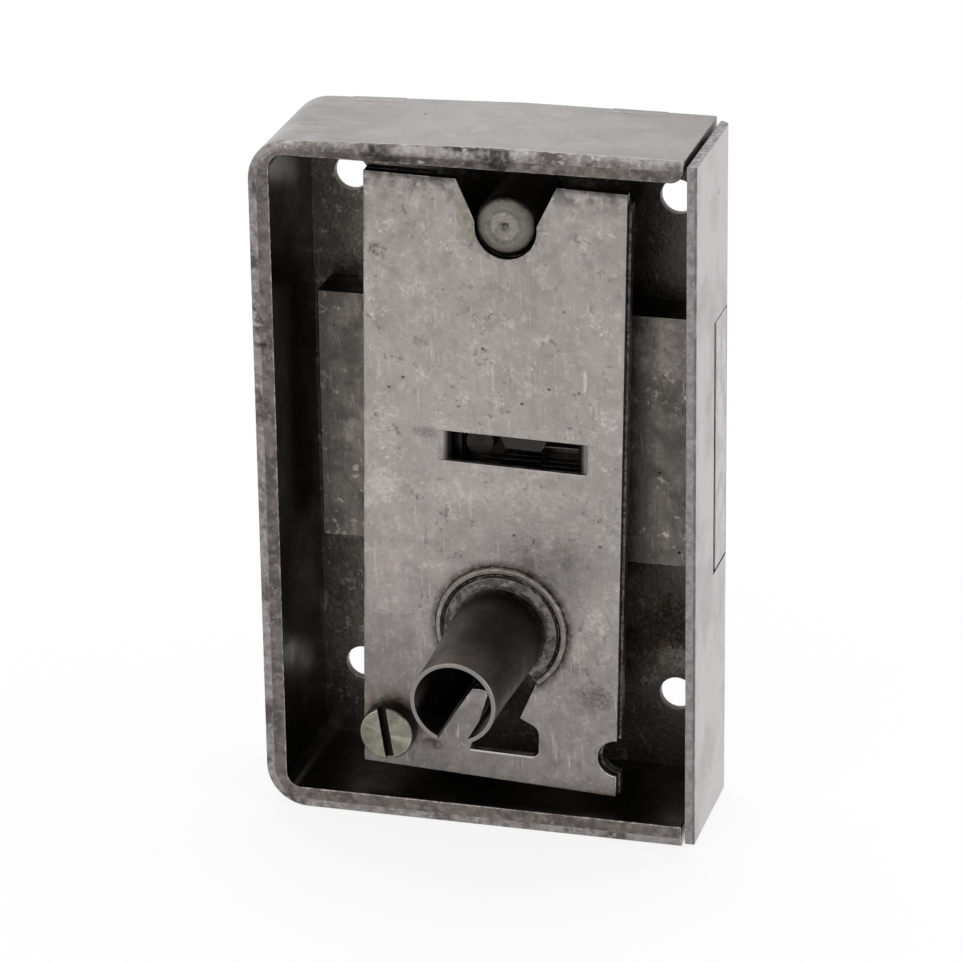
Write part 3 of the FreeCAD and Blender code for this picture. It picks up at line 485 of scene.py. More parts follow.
def zinc_plated_sheet(finish):
    """Zinc plating on a folded steel sheet, rolled upwards: the forend is smooth and bright, and
    the back plate inside the case is dull, speckled and pitted. Patches of painted shade lie on
    the forend's inner face."""
    material, tree, shader, spot = new_metal("Zinc plated sheet", 0.36)
    forend, dull = finish.forend, finish.case_inside
    lines = drawn_lines(tree, spot, "Z", 30, 0.5, 0.42, 0.7)
    haze = clouds(tree, spot, 9, 0.42, 0.7, seed=1.1)
    grain = clouds(tree, spot, 0.6, 0.38, 0.62, seed=0.6)
    mottle = clouds(tree, spot, 2.6, 0.42, 0.64, seed=2.8)
    holes = pits(tree, spot, 3.2, 0.28, seed=1.4)
    tone = paint(
        tree, forend,
        (haze, shade(forend, 0.88)),
        (lines, shade(forend, 0.92)),
        (drawn_lines(tree, spot, "Z", 12, 0.2, 0.66, 0.72, turn=2), shade(forend, 0.7)),
        (pits(tree, spot, 7, 0.22, seed=0.9), shade(finish.dirt, 3)),
        (stain(tree, spot, (FOREND, 13, 61), (2, 0.8, 0.5), 0.4, 0.6), finish.rust),
        (both(tree, slope(tree, spot, "Z", 68.22, 68.33), clouds(tree, spot, 1.2, 0.3, 0.6)),
         shade(forend, 0.35)),
        (both(tree, slope(tree, spot, "Y", 3.5, 0.4), clouds(tree, spot, 3, 0.4, 0.7)),
         shade(forend, 0.72)),
    )
    edge = in_box(tree, spot, (20, -FAR, -FAR), (FAR, 0.06, FAR))
    corner = in_box(tree, spot, (FOREND - 0.3, -FAR, -FAR), (FAR, 0.3, FAR), 0.12)
    tone = paint(
        tree, tone,
        (edge, shade(forend, 0.62)),
        *within(
            tree, edge,
            (clouds(tree, spot, 1.2, 0.38, 0.66, seed=3.6), shade(forend, 0.4)),
            (clouds(tree, spot, 0.5, 0.6, 0.68, seed=9.6), shade(forend, 0.95)),
        ),
        *within(tree, corner, (clouds(tree, spot, 3, 0.3, 0.55, seed=1.2), shade(forend, 0.3))),
    )
    inside = in_box(tree, spot, (-29.6, 0.1, -24.7), (26.28, 19.8, 66.1))
    wall = in_box(tree, spot, (26.0, 0.1, -FAR), (26.28, 18.75, FAR))
    tone = paint(
        tree, tone,
        (inside, dull),
        *within(
            tree, inside,
            (mottle, shade(dull, 0.5)),
            (grain, shade(dull, 0.66)),
            (drawn_lines(tree, spot, "Z", 7, 1.1, 0.46, 0.7, turn=12), shade(dull, 0.6)),
            (clouds(tree, spot, 1.2, 0.56, 0.68, seed=8.1), shade(dull, 1.7)),
            (slope(tree, spot, "X", 12, 24), shade(dull, 0.42)),
            (holes, finish.dirt),
            (stain(tree, spot, (20.3, 18.6, -5), (5.5, 3, 9), 0.8, 2.4), shade(finish.rust, 0.8)),
            (stain(tree, spot, (20.3, 18.6, -3), (4.4, 3, 6), 0.9, 0.9), shade(finish.dirt, 0.8)),
            (stain(tree, spot, (20.8, 18.6, -8.6), (3.6, 3, 2.6), 1.0, 0.6), shade(dull, 1.4)),
        ),
        # Painted shade, in patches, on the forend's inner face
        (both(tree, wall, clouds(tree, spot, 4, 0.2, 0.5)), finish.inner_shade),
        *within(tree, inside, (slope(tree, spot, "Y", 18.68, 18.9), shade(finish.rust, 0.6))),
        (both(tree, slope(tree, spot, "Y", 18.5, 0.2), rubbed(tree, spot, 1.1, 0.44, 0.64)),
         shade(finish.worn, 0.8)),
    )
    height = relief(
        tree, 0.6, (lines, 0.52), *within(tree, inside, (grain, 0.3), (holes, 0)),
    )
    finish_metal(tree, shader, tone, height, 0.07, 0.5, (haze, 0.3, 0.44))
    return material


def mottled_plating(finish):
    """Dull old zinc plating on the punched cap plate: pink and green-grey clouds, a fine grain,
    faint scratches, dark specks, brown oil round the holes, darker bands along the edges, and
    painted shade on the walls of the holes."""
    material, tree, shader, spot = new_metal("Mottled zinc plating", 0.42)
    cover = finish.cover
    tilt = (0, math.radians(-COVER_TILT), 0)
    flat = add(tree, "Mapping", None, spot, rotation=tilt).outputs[0]
    grain = clouds(tree, spot, 0.38, 0.34, 0.66, detail=2.0)
    mottle = clouds(tree, spot, 1.8, 0.36, 0.64, seed=3.1)
    specks = both(tree, clouds(tree, spot, 0.8, 0.58, 0.66, seed=4.7),
                  clouds(tree, spot, 5, 0.48, 0.6, seed=7.1))
    dots = pits(tree, spot, 4.2, 0.2)
    green = linear("#A19D93")
    pink = linear("#B5A29F")
    tone = paint(
        tree, cover,
        (clouds(tree, spot, 9, 0.4, 0.62, seed=0.3), shade(cover, 0.88)),
        (clouds(tree, spot, 5, 0.44, 0.66, seed=6.2), green),
        (clouds(tree, spot, 3.6, 0.47, 0.68, seed=5.2), pink),
        (both(tree, slope(tree, flat, "Z", 20, 60), clouds(tree, spot, 7, 0.3, 0.6, seed=8.8)),
         green),
        (mottle, shade(cover, 0.85)),
        (clouds(tree, spot, 1.6, 0.44, 0.74, seed=9.2, detail=3.0), shade(cover, 1.2)),
        (clouds(tree, spot, 1.1, 0.5, 0.72, seed=5.9, detail=3.0), shade(cover, 0.74)),
        (grain, shade(cover, 0.82)),
        (clouds(tree, spot, 6.5, 0.38, 0.62, seed=1.7), 0.88),
        (both(tree, slope(tree, flat, "Z", 24, 50), clouds(tree, spot, 2.4, 0.48, 0.66, seed=6.8)),
         0.86),
        (slope(tree, flat, "Z", 30, 60), 0.95),
        (both(tree, slope(tree, flat, "Z", 16, -8), clouds(tree, spot, 12, 0.25, 0.5, seed=2.8)),
         0.85),
        (slope(tree, flat, "Z", 2, -22), 0.82),
        (both(tree, slope(tree, flat, "Z", 10, -12), slope(tree, flat, "X", 6, -12)), 0.76),
        (both(tree, slope(tree, flat, "Z", 14, -22), clouds(tree, spot, 2.2, 0.5, 0.68, seed=1.2)),
         0.8),
        (both(tree, drawn_lines(tree, spot, "Z", 7, 0.45, 0.56, 0.74, turn=3),
              clouds(tree, spot, 5, 0.4, 0.6, seed=3.8)), shade(cover, 1.06)),
        (both(tree, drawn_lines(tree, spot, "Z", 4, 0.24, 0.64, 0.76, turn=55),
              clouds(tree, spot, 6, 0.5, 0.62, seed=2.6)), shade(cover, 1.15)),
        (both(tree, drawn_lines(tree, spot, "X", 4, 0.24, 0.64, 0.76, turn=-24),
              clouds(tree, spot, 6, 0.46, 0.62, seed=1.4)), shade(cover, 0.7)),
        (specks, shade(cover, 0.45)),
        (both(tree, dots, clouds(tree, spot, 9, 0.44, 0.5, seed=5.1)), shade(cover, 0.3)),
        (both(tree, clouds(tree, spot, 0.7, 0.54, 0.7, seed=7.4),
              both(tree, clouds(tree, spot, 6, 0.54, 0.64, seed=2.9),
                   slope(tree, flat, "Z", 12, 22))), shade(cover, 1.35)),
    )
    tone = cover_stains(tree, spot, flat, tone, finish)
    tone = cover_walls(tree, spot, flat, tone, finish)
    height = relief(tree, 0.5, (mottle, 0.36), (grain, 0.66), (specks, 0.1), (dots, 0))
    finish_metal(tree, shader, tone, height, 0.06, 0.6, (mottle, 0.34, 0.52))
    return material


def cover_stains(tree, spot, flat, tone, finish):
    """Lays oil, rust and wear on the cap's face round the stud, the screw and the collar, and where
    the photograph shows single marks, and darker bands along its edges."""
    cover, rust = finish.cover, finish.rust
    old_oil = linear("#6A625B")
    stud_x, stud_z = axis_of("cap_stud")
    screw_x, screw_z = axis_of("cap_screw")
    # Bands along the cap's edges: from where to where they grow, their patches, their tint
    for axis, start, end, patches, tint in (
        ("X", -18.7, -19.15, (3, 0.4, 0.7, 8.4), 0.6),
        ("Z", 58.6, 62.4, (2.2, 0.42, 0.62, 2.1), 0.5),
        ("Z", 62.2, 62.95, (2.4, 0.2, 0.45, 3.1), 0.45),
        ("Z", -22.1, -22.6, (2, 0.35, 0.6, 4.2), shade(rust, 2.0)),
    ):
        band = slope(tree, flat, axis, start, end)
        tone = paint(tree, tone, *within(tree, band, (clouds(tree, spot, *patches), tint)))
    ring = round_axis(tree, spot, 0, 0, 10.4, 9.1)
    patches = clouds(tree, spot, 1, 0.2, 0.6)
    tone = paint(tree, tone, *within(tree, ring, (patches, shade(old_oil, 0.5))))
    # Stains: place, reach, raggedness, size of the patches in them, amount, colour
    for (x, z), (wide, high), ragged, size, amount, tint in (
        ((stud_x, stud_z), (6.2, 6.2), 0.3, 1.0, 1, shade(rust, 0.9)),
        ((stud_x - 5, stud_z + 2), (2.6, 5), 0.8, 2, 0.6, linear("#7C7962")),
        ((-16.2, 52.6), (1.6, 1.2), 0.9, 1.0, 0.8, shade(old_oil, 0.6)),
        ((-10.5, 40.2), (1.6, 1.4), 0.9, 1.2, 0.5, shade(rust, 2)),
        ((screw_x + 1, screw_z + 1.6), (7.0, 6.0), 0.6, 2.4, 0.5, shade(rust, 2.2)),
        ((screw_x, screw_z + 0.6), (5.0, 5.0), 0.3, 1.6, 1, shade(rust, 0.8)),
        ((-9.6, -17.8), (1.8, 1.0), 0.9, 1.0, 0.8, shade(rust, 0.5)),
        ((9.15, 10.7), (3.4, 2.4), 0.8, 2.2, 0.6, shade(cover, 0.5)),
        ((-11.9, 6.8), (2.6, 3), 0.9, 2.2, 0.6, shade(cover, 0.5)),
        ((-10.2, 27.6), (2.2, 1.0), 0.9, 0.5, 0.7, shade(cover, 0.35)),
        ((-10.3, 11.8), (0.3, 3.2), 0.35, 1.6, 0.8, shade(cover, 0.45)),
        ((11.75, 36.5), (0.35, 2.2), 0.4, 1.0, 0.8, shade(cover, 1.5)),
        ((13.0, -8.6), (2.8, 2.2), 1.0, 0.9, 0.7, shade(old_oil, 0.6)),
        ((13.2, 2.2), (1.8, 2.6), 1.0, 1.4, 0.6, shade(cover, 1.35)),
        ((-16, 20), (2.4, 3), 1.1, 0.9, 0.5, shade(cover, 1.4)),
        ((0, 19.5), (16, 2.5), 0.9, 1.2, 0.3, shade(cover, 1.3)),
    ):
        mark = stain(tree, spot, (x, CAP_FRONT, z), (wide, 3, high), ragged, size, amount)
        tone = paint(tree, tone, (mark, tint))
    # Single dark dots
    for x, z in ((-13, 35.1), (-15, 33.5), (-5.5, 31.6), (6.9, 35), (3.2, 32.7), (1.9, 13.9),
                 (13.7, 13.3), (-2, 40), (9, 46)):
        dot = stain(tree, spot, (x, CAP_FRONT, z), (0.34, 1, 0.26), 0.5, 0.5, 1)
        tone = paint(tree, tone, (dot, shade(finish.dirt, 2)))
    return tone


def cover_walls(tree, spot, flat, tone, finish):
    """Paints shade on the walls of the cap's holes, apart from the slot's sloping ends, and in
    brown round the stud. Rubs its edges, and paints highlight on the rubbed edges round the side
    notch and on the edge below the key's foot."""
    stud_x, stud_z = axis_of("cap_stud")
    walls = slope(tree, spot, "Y", CAP_FRONT + 0.06, CAP_FRONT + 0.6)
    face = slope(tree, spot, "Y", CAP_FRONT + 0.3, CAP_FRONT + 0.1)
    slot = both(tree, in_box(tree, flat, (-13, CAP_FRONT - 0.1, 22.4), (14, 6, 29), 0.2),
                slope(tree, spot, "Y", CAP_FRONT + 1, CAP_FRONT + 0.3))
    shaded_walls = add(tree, "Math", {"operation": "SUBTRACT", "use_clamp": True}, walls, slot)
    round_stud = stain(tree, spot, (stud_x, CAP_FRONT + 0.6, stud_z), (6.2, 3, 6.2), 0.2, 1.0, 1)
    notch_highlight = stain(tree, spot, (14.4, CAP_FRONT, -20.6), (2.2, 3, 2.6), 0.2, 1.0, 1)
    highlight_below_foot = in_box(tree, flat, (-4.15, CAP_FRONT - 0.1, -18.5), (4.65, 5.3, -17.9), 0.05)
    return paint(
        tree, tone,
        # Painted shade: the walls of the cap's holes nearly black
        (shaded_walls, shade(finish.dirt, 0.9)),
        # Painted shade, brown, on the notch wall round the stud
        (both(tree, round_stud, slope(tree, spot, "Y", CAP_FRONT + 0.06, CAP_FRONT + 0.2)),
         shade(finish.rust, 1.1)),
        (both(tree, rubbed(tree, spot, 1.6, 0.5, 0.66), face), shade(finish.worn, 0.7)),
        # Wear with painted highlight: the rubbed edges round the side notch made brighter
        (both(tree, notch_highlight, both(tree, rubbed(tree, spot, 1.6, 0.1, 0.3), face)),
         shade(finish.worn, 1.1)),
        # Painted highlight on the upward-facing edge below the key's foot
        (highlight_below_foot, shade(finish.worn, 0.85)),
    )


def speckled_plating(finish):
    """The guide plate's plating, roughened into light and dark specks where it shows, with painted
    shade where it is seen through the cap's slot.
    """
    material, tree, shader, spot = new_metal("Speckled zinc plating", 0.5)
    guide = finish.guide
    grain = clouds(tree, spot, 0.7, 0.42, 0.58)
    tone = paint(
        tree, guide,
        (grain, shade(guide, 0.3)),
        (clouds(tree, spot, 4, 0.45, 0.65, seed=1.5), shade(guide, 0.5)),
        (clouds(tree, spot, 1.0, 0.62, 0.7, seed=2.5), shade(finish.worn, 0.6)),
        # Painted shade on the part of the guide plate seen through the cap's slot
        (in_box(tree, spot, (-8, 0, 20), (10.5, 9, 31), 1), shade(guide, 0.17)),
        (rubbed(tree, spot, 0.8, 0.46, 0.66), shade(finish.worn, 0.5)),
    )
    finish_metal(tree, shader, tone, grain, 0.05, 0.6)
    return material


def pitted_steel(finish):
    """Milled steel gone dark: upright streaks, pits and light worn marks, with a ground end and
    painted shade on its top face.
    """
    material, tree, shader, spot = new_metal("Pitted bolt steel", 0.42)
    bolt = finish.bolt
    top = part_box("bolt")[1].z / MM
    streaks = drawn_lines(tree, spot, "Z", 9, 0.7, 0.4, 0.66)
    grain = clouds(tree, spot, 0.5, 0.36, 0.64)
    mottle = clouds(tree, spot, 3.2, 0.42, 0.64, seed=1.7)
    holes = pits(tree, spot, 3.0, 0.26, seed=0.8)
    end = slope(tree, spot, "X", FOREND - 0.06, FOREND - 0.04)
    top_edge = slope(tree, spot, "Z", top - 0.05, top - 0.35)
    tone = paint(
        tree, bolt,
        (mottle, shade(bolt, 0.55)),
        (streaks, shade(bolt, 0.66)),
        (grain, shade(bolt, 0.7)),
        (both(tree, clouds(tree, spot, 1.1, 0.58, 0.66, seed=3.9),
              clouds(tree, spot, 8, 0.42, 0.6, seed=6.1)), shade(bolt, 2.1)),
        (drawn_lines(tree, spot, "Z", 4, 0.22, 0.66, 0.73, turn=6), shade(bolt, 1.9)),
        (drawn_lines(tree, spot, "X", 3, 0.2, 0.69, 0.74, turn=20), shade(bolt, 1.7)),
        (stain(tree, spot, (20, 11, 38), (5, 3, 6), 0.9, 2.4), shade(bolt, 1.4)),
        (stain(tree, spot, (-20, 11, 24), (5, 3, 5), 0.9, 2.4), shade(bolt, 1.4)),
        (holes, finish.dirt),
        (end, finish.bolt_end),
        *within(tree, end, (streaks, 0.88), (mottle, 0.92)),
        # Painted shade on the bolt's top face
        (slope(tree, spot, "Z", top - 0.1, top - 0.01), shade(finish.dirt, 1.6)),
        (both(tree, rubbed(tree, spot, 1.2, 0.4, 0.6), top_edge), shade(finish.worn, 0.45)),
    )
    height = relief(tree, 0.6, (streaks, 0.45), (grain, 0.7), (holes, 0))
    finish_metal(tree, shader, tone, height, 0.08, 0.6, (mottle, 0.36, 0.55))
    return material


def drawn_steel(finish):
    """Drawn steel tube, grey and smooth at its mouth, with painted shade darkening it to near-black
    towards its root and painted light on its lower side near the mouth, faint lines along it
    and a bright rubbed mouth."""
    material, tree, shader, spot = new_metal("Drawn tube steel", 0.3)
    tube = finish.tube
    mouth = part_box("key_tube")[0].y / MM
    lines = drawn_lines(tree, spot, "Y", 24, 0.5, 0.4, 0.7)
    haze = clouds(tree, spot, 3.5, 0.4, 0.7)
    grain = clouds(tree, spot, 0.4, 0.35, 0.65, seed=1.3)
    # Painted shade: the tube darkens towards its root, with lighter patches in the shade
    oil = slope(tree, spot, "Y", -22, -10)
    tone = paint(
        tree, tube,
        (lines, shade(tube, 0.8)),
        (haze, shade(tube, 0.75)),
        (grain, shade(tube, 0.85)),
        (oil, finish.tube_root_shade),
        *within(
            tree, oil, (clouds(tree, spot, 2, 0.45, 0.7, seed=2.7), shade(finish.tube_root_shade, 1.9)),
        ),
        # Painted light: the tube's lower side lighter towards its mouth
        (both(tree, slope(tree, spot, "Z", 0, -5), slope(tree, spot, "Y", -6, -18)),
         shade(tube, 1.3)),
        (slope(tree, spot, "Y", mouth + 0.25, mouth + 0.23), shade(finish.worn, 0.36)),
        (rubbed(tree, spot, 1.2, 0.36, 0.6), shade(finish.worn, 0.36)),
    )
    height = relief(tree, 0.5, (lines, 0.42), (grain, 0.58))
    finish_metal(tree, shader, tone, height, 0.03, 0.4, (haze, 0.26, 0.4))
    return material


def riveted_collar(finish):
    """The collar's plating: a light worn ring outside, black dirt in its groove, and a rough brown
    ring inside, where it was hammered over the tube."""
    material, tree, shader, spot = new_metal("Riveted collar plating", 0.42)
    collar = finish.collar
    grain = clouds(tree, spot, 0.6, 0.4, 0.6, seed=2.0)
    dents = clouds(tree, spot, 1.6, 0.42, 0.6, seed=4.0)
    inner = round_axis(tree, spot, 0, 0, 7.75, 7.6)
    groove = both(tree, round_axis(tree, spot, 0, 0, 7.65, 7.8),
                  round_axis(tree, spot, 0, 0, 8.25, 8.1))
    foot = round_axis(tree, spot, 0, 0, 8.95, 9.15)
    tone = paint(
        tree, collar,
        (dents, shade(collar, 0.7)),
        (grain, shade(collar, 0.8)),
        (inner, shade(collar, 0.5)),
        *within(
            tree, inner,
            (dents, shade(collar, 0.24)),
            (clouds(tree, spot, 0.9, 0.5, 0.7, seed=6.6), shade(collar, 0.75)),
        ),
        *within(tree, groove, (clouds(tree, spot, 2, 0.2, 0.5), shade(finish.dirt, 1.6))),
        *within(tree, foot, (clouds(tree, spot, 1, 0.2, 0.6), shade(finish.rust, 0.7))),
        (rubbed(tree, spot, 0.9, 0.45, 0.65), shade(finish.worn, 0.7)),
    )
    height = relief(tree, 0.5, (grain, 0.62), *within(tree, inner, (dents, 0.1)))
    finish_metal(tree, shader, tone, height, 0.12, 0.7, (dents, 0.34, 0.55))
    return material


def turned_steel(finish, name="Turned steel", tint=None, node=None):
    """Turned steel, lightly tarnished, with faint rings round the axis that it was turned on. A
    piece given by its node has a clean front end with a painted fan-shaped reflection on it, a
    few darker smudges, and sides behind it painted black."""
    tint = tint or finish.fixing
    material, tree, shader, spot = new_metal(name, 0.34)
    flat, away = off_axis(tree, spot, *(axis_of(node) if node else (0, 0)))
    rings = add(tree, "TexNoise", {"noise_dimensions": "1D"}, away, per(0.35), 2.0)
    grain = clouds(tree, spot, 0.6, 0.36, 0.66)
    mottle = clouds(tree, spot, 2.2, 0.42, 0.66, seed=1.6)
    tone = paint(
        tree, tint,
        (mottle, shade(tint, 0.68)),
        (grain, shade(tint, 0.8)),
        (ramp(tree, rings, 0.5, 0.68), shade(tint, 0.8)),
        (pits(tree, spot, 2.6, 0.24, seed=2.3), finish.dirt),
        (rubbed(tree, spot, 0.8, 0.4, 0.6), shade(tint, 1.7)),
    )
    if node:
        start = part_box(node)[0].y / MM
        parts = add(tree, "SeparateXYZ", None, flat)
        angle = add(tree, "Math", {"operation": "ARCTAN2"}, parts.outputs["Z"],
                    parts.outputs["X"])
        fan_reflection = add(tree, "TexNoise", {"noise_dimensions": "1D"}, angle, 1.3, 3.0)
        tone = paint(
            tree, tone,
            # Painted reflection: dark and light sectors round the axis, as a turned face reflects
            # in a bow tie
            (ramp(tree, fan_reflection, 0.45, 0.7), shade(tint, 0.72)),
            (ramp(tree, fan_reflection, 0.46, 0.3), shade(tint, 1.2)),
            (clouds(tree, spot, 2.6, 0.46, 0.66, seed=7.9), 0.75),
            # The sides behind the front end painted black
            (slope(tree, spot, "Y", start + 0.2, start + 0.6), finish.dirt),
        )
    tone = paint(tree, tone, (riveted_end(tree, spot), finish.fixing))
    finish_metal(tree, shader, tone, rings, 0.03, 0.4, (mottle, 0.3, 0.48))
    return material


def domed_stud_steel(finish):
    """The stud's oily turned steel: greenish grey, with a light ring round a dark centre mark,
    painted shade darkening its dome towards the border, and its side painted black as shade."""
    material, tree, shader, spot = new_metal("Oily turned steel", 0.4)
    x, z = axis_of("cap_stud")
    tint = finish.fixing
    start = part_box("cap_stud")[0].y / MM
    grain = clouds(tree, spot, 0.5, 0.36, 0.66)
    ring = both(tree, round_axis(tree, spot, x, z, 0.5, 1.2),
                round_axis(tree, spot, x, z, 2.6, 1.7))
    border = both(tree, round_axis(tree, spot, x, z, 1.7, 2.0),
                  round_axis(tree, spot, x, z, 2.6, 2.2))
    side = slope(tree, spot, "Y", start + 0.6, start + 1.0)
    tone = paint(
        tree, tint,
        (clouds(tree, spot, 1.4, 0.42, 0.68, seed=1.6), shade(tint, 0.72)),
        (grain, 0.85),
        (ring, 1.15),
        *within(tree, ring, (clouds(tree, spot, 0.9, 0.5, 0.66, seed=3.6), 1.35)),
        # Painted shade: the dome darker towards its border
        (border, 0.72),
        (round_axis(tree, spot, x, z, 2.2, 3.2), 0.66),
        (round_axis(tree, spot, x, z, 3.1, 3.9), 0.6),
        (both(tree, grain, round_axis(tree, spot, x, z, 1.0, 0.4)), 0.5),
        (both(tree, round_axis(tree, spot, x, z, 3.5, 4.0), side), shade(finish.rust, 0.9)),
        # Painted shade: the stud's side behind the dome black
        (slope(tree, spot, "Y", start + 1.5, start + 2.5), finish.dirt),
        (riveted_end(tree, spot), tint),
    )
    finish_metal(tree, shader, tone, grain, 0.05, 0.6)
    return material


def settle(shape, name, finish, node, rides=True):
    """Makes a piece of a shape, with smooth shading between its sharp edges. It gets the given
    finish and, when it rides, moves with the CAD node's body."""
    mesh = bpy.data.meshes.new(name)
    shape.to_mesh(mesh)
    shape.free()
    mesh.materials.clear()
    mesh.materials.append(finish)
    for polygon in mesh.polygons:
        polygon.use_smooth = True
    mesh.set_sharp_from_angle(angle=math.radians(SHARP_ANGLE))
    piece = bpy.data.objects.new(name, mesh)
    bpy.context.scene.collection.objects.link(piece)
    normals = piece.modifiers.new("Even shading", "WEIGHTED_NORMAL")
    normals.keep_sharp = True
    if rides:
        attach(piece, frame["nodes"][node]["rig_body"])
    return piece


def worn_copy(name, node, width, finish, rides=True):
    """A copy of a solid's surface with its corners joined and its edges worn round. The worn
    faces are marked, so that the finish can show bare metal there."""
    shape = bmesh.new()
    shape.from_mesh(frame["nodes"][node].data)
    worn = shape.faces.layers.float.new("worn")
    bmesh.ops.remove_doubles(shape, verts=shape.verts, dist=SAME_CORNER * MM)
    bmesh.ops.dissolve_limit(
        shape, angle_limit=math.radians(FLAT_ANGLE), verts=shape.verts, edges=shape.edges
    )
    sharp = [
        edge for edge in shape.edges
        if len(edge.link_faces) == 2 and edge.calc_face_angle() > math.radians(WORN_ANGLE)
    ]
    rounded = bmesh.ops.bevel(
        shape, geom=sharp, offset=width, offset_type="OFFSET", affect="EDGES", segments=2,
        profile=0.5, material=-1, clamp_overlap=True,
    )
    for face in rounded["faces"]:
        face[worn] = 1.0
    piece = settle(shape, name, finish, node, rides)
    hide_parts(node)
    return piece


class LOCK_OT_case(bpy.types.Operator):
    """Dress the case: its strip rim, its back plate with the forend, and two hammered tabs."""

    bl_idname = "lock.case"
    bl_label = "Case"

    def execute(self, context):
        scene = context.scene
        edge = scene.lock_edges.case
        plating = zinc_plated_strip(scene.lock_finish)
        worn_copy("strip_rim", "rim", edge, plating)
        worn_copy("back_and_forend", "back_plate", edge, zinc_plated_sheet(scene.lock_finish))
        for side, middle in (("left", -20.0), ("right", 15.5)):
            self.peened_tab("peened_tab_" + side, middle, plating)
        return {"FINISHED"}

    def peened_tab(self, name, middle, plating):
        """The low head that one of the back plate's tabs was hammered into, over its joint in the
        rim's top."""
        half_tab, overhang, tab_depth = 3.5, 0.3, 19.05
        rounding, flattening, sunk = 0.28, 0.4, 0.04
        corners = [v.co / MM for v in frame["nodes"]["back_plate"].data.vertices]
        left, right = (max(c.z for c in corners if abs(c.x - side) < overhang)
                       for side in (middle - half_tab, middle + half_tab))
        shape = bmesh.new()
        bmesh.ops.create_cube(shape, size=1.0)
        blank = (2 * (half_tab + overhang), 1.6, 0.7)
        bmesh.ops.scale(shape, verts=shape.verts, vec=blank)
        bmesh.ops.bevel(
            shape, geom=shape.edges[:], offset=rounding, offset_type="OFFSET", affect="EDGES",
            segments=4, profile=0.5, material=-1,
        )
        bmesh.ops.scale(shape, verts=shape.verts, vec=(1, 1, flattening))
        tilt = Matrix.Rotation(math.atan2(left - right, 2 * half_tab), 3, "Y")
        bmesh.ops.rotate(shape, verts=shape.verts, cent=(0, 0, 0), matrix=tilt)
        bmesh.ops.translate(
            shape, verts=shape.verts, vec=(middle, tab_depth, (left + right) / 2 - sunk)
        )
        bmesh.ops.scale(shape, verts=shape.verts, vec=(MM, MM, MM))
        settle(shape, name, plating, "back_plate")


class LOCK_OT_cover(bpy.types.Operator):
    """Dress the cap plate and the guide plate behind it."""

    bl_idname = "lock.cover"
    bl_label = "Cap and guide plate"

    def execute(self, context):
        scene = context.scene
        edge = scene.lock_edges.cover
        worn_copy("cap", "cap_plate", edge, mottled_plating(scene.lock_finish))
        worn_copy("guide", "guide_plate", edge, speckled_plating(scene.lock_finish))
        return {"FINISHED"}


class LOCK_OT_bolt(bpy.types.Operator):
    """Dress the dead bolt and its stump."""

    bl_idname = "lock.bolt"
    bl_label = "Bolt"

    def execute(self, context):
        scene = context.scene
        steel = pitted_steel(scene.lock_finish)
        worn_copy("dead_bolt", "bolt", scene.lock_edges.bolt, steel)
        oily = turned_steel(scene.lock_finish, "Oily stump steel", scene.lock_finish.tumbler)
        worn_copy("stump", "bolt_stump", scene.lock_edges.small, oily)
        return {"FINISHED"}


class LOCK_OT_tube(bpy.types.Operator):
    """Dress the key tube and its collar."""

    bl_idname = "lock.tube"
    bl_label = "Key tube"

    def execute(self, context):
        scene = context.scene
        edges = scene.lock_edges
        worn_copy("guide_tube", "key_tube", edges.tube, drawn_steel(scene.lock_finish))
        worn_copy("collar", "tube_collar", edges.small, riveted_collar(scene.lock_finish))
        return {"FINISHED"}


class LOCK_OT_fixings(bpy.types.Operator):
    """Dress the stud, the posts, the pins and the screw."""

    bl_idname = "lock.fixings"
    bl_label = "Fixings"

    def execute(self, context):
        scene = context.scene
        edge = scene.lock_edges.small
        finish = scene.lock_finish
        worn_copy("stud", "cap_stud", edge, domed_stud_steel(finish))
        nickel = turned_steel(finish, "Yellowed nickel", finish.screw, "cap_screw")
        worn_copy("cheese_head_screw", "cap_screw", edge, nickel)
        steel = turned_steel(finish)
        oily = turned_steel(finish, "Oily pivot steel", shade(finish.tumbler, 0.5))
        worn_copy("pillar", "screw_pillar", edge, steel)
        worn_copy("pivot", "tumbler_pivot", edge, oily)
        worn_copy("post_left", "cover_post_left", edge, steel)
        worn_copy("post_right", "cover_post_right", edge, steel)
        return {"FINISHED"}


class LOCK_OT_tumblers(bpy.types.Operator):
    """Dress the tumblers and their leaf springs."""

    bl_idname = "lock.tumblers"
    bl_label = "Tumblers"

    def execute(self, context):
        scene = context.scene
        edge = scene.lock_edges.small
        steel = turned_steel(scene.lock_finish, "Punched tumbler steel", scene.lock_finish.tumbler)
        for number in (1, 2, 3):
            worn_copy("lever_%d" % number, "tumbler_%d" % number, edge, steel)
            self.leaf(number, edge, steel)
        return {"FINISHED"}

    def leaf(self, number, edge, steel):
        """Dress a leaf spring, which on the real lock bends as its tumbler turns. The piece is not
        attached to any body, so it stays where it is."""
        spring, post = "tumbler_spring_%d" % number, "cover_post_left"
        piece = worn_copy("leaf_%d" % number, spring, edge, steel, rides=False)
        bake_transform(piece)


def lamp(name, place, target, size, watts):
    """A soft square lamp that looks at a point."""
    data = bpy.data.lights.new(name, "AREA")
    data.shape = "SQUARE"
    data.size = size
    data.energy = watts
    holder = bpy.data.objects.new(name, data)
    holder.location = place
    holder.rotation_euler = (Vector(target) - Vector(place)).to_track_quat("-Z", "Y").to_euler()
    bpy.context.scene.collection.objects.link(holder)


def seen_white(tree):
    """1 for rays from the camera and from glossy or clear surfaces, which see a white studio."""
    rays = add(tree, "LightPath").outputs
    seen = add(tree, "Math", LARGER, rays["Is Camera Ray"], rays["Is Transmission Ray"])
    return add(tree, "Math", LARGER, seen, rays["Is Glossy Ray"])


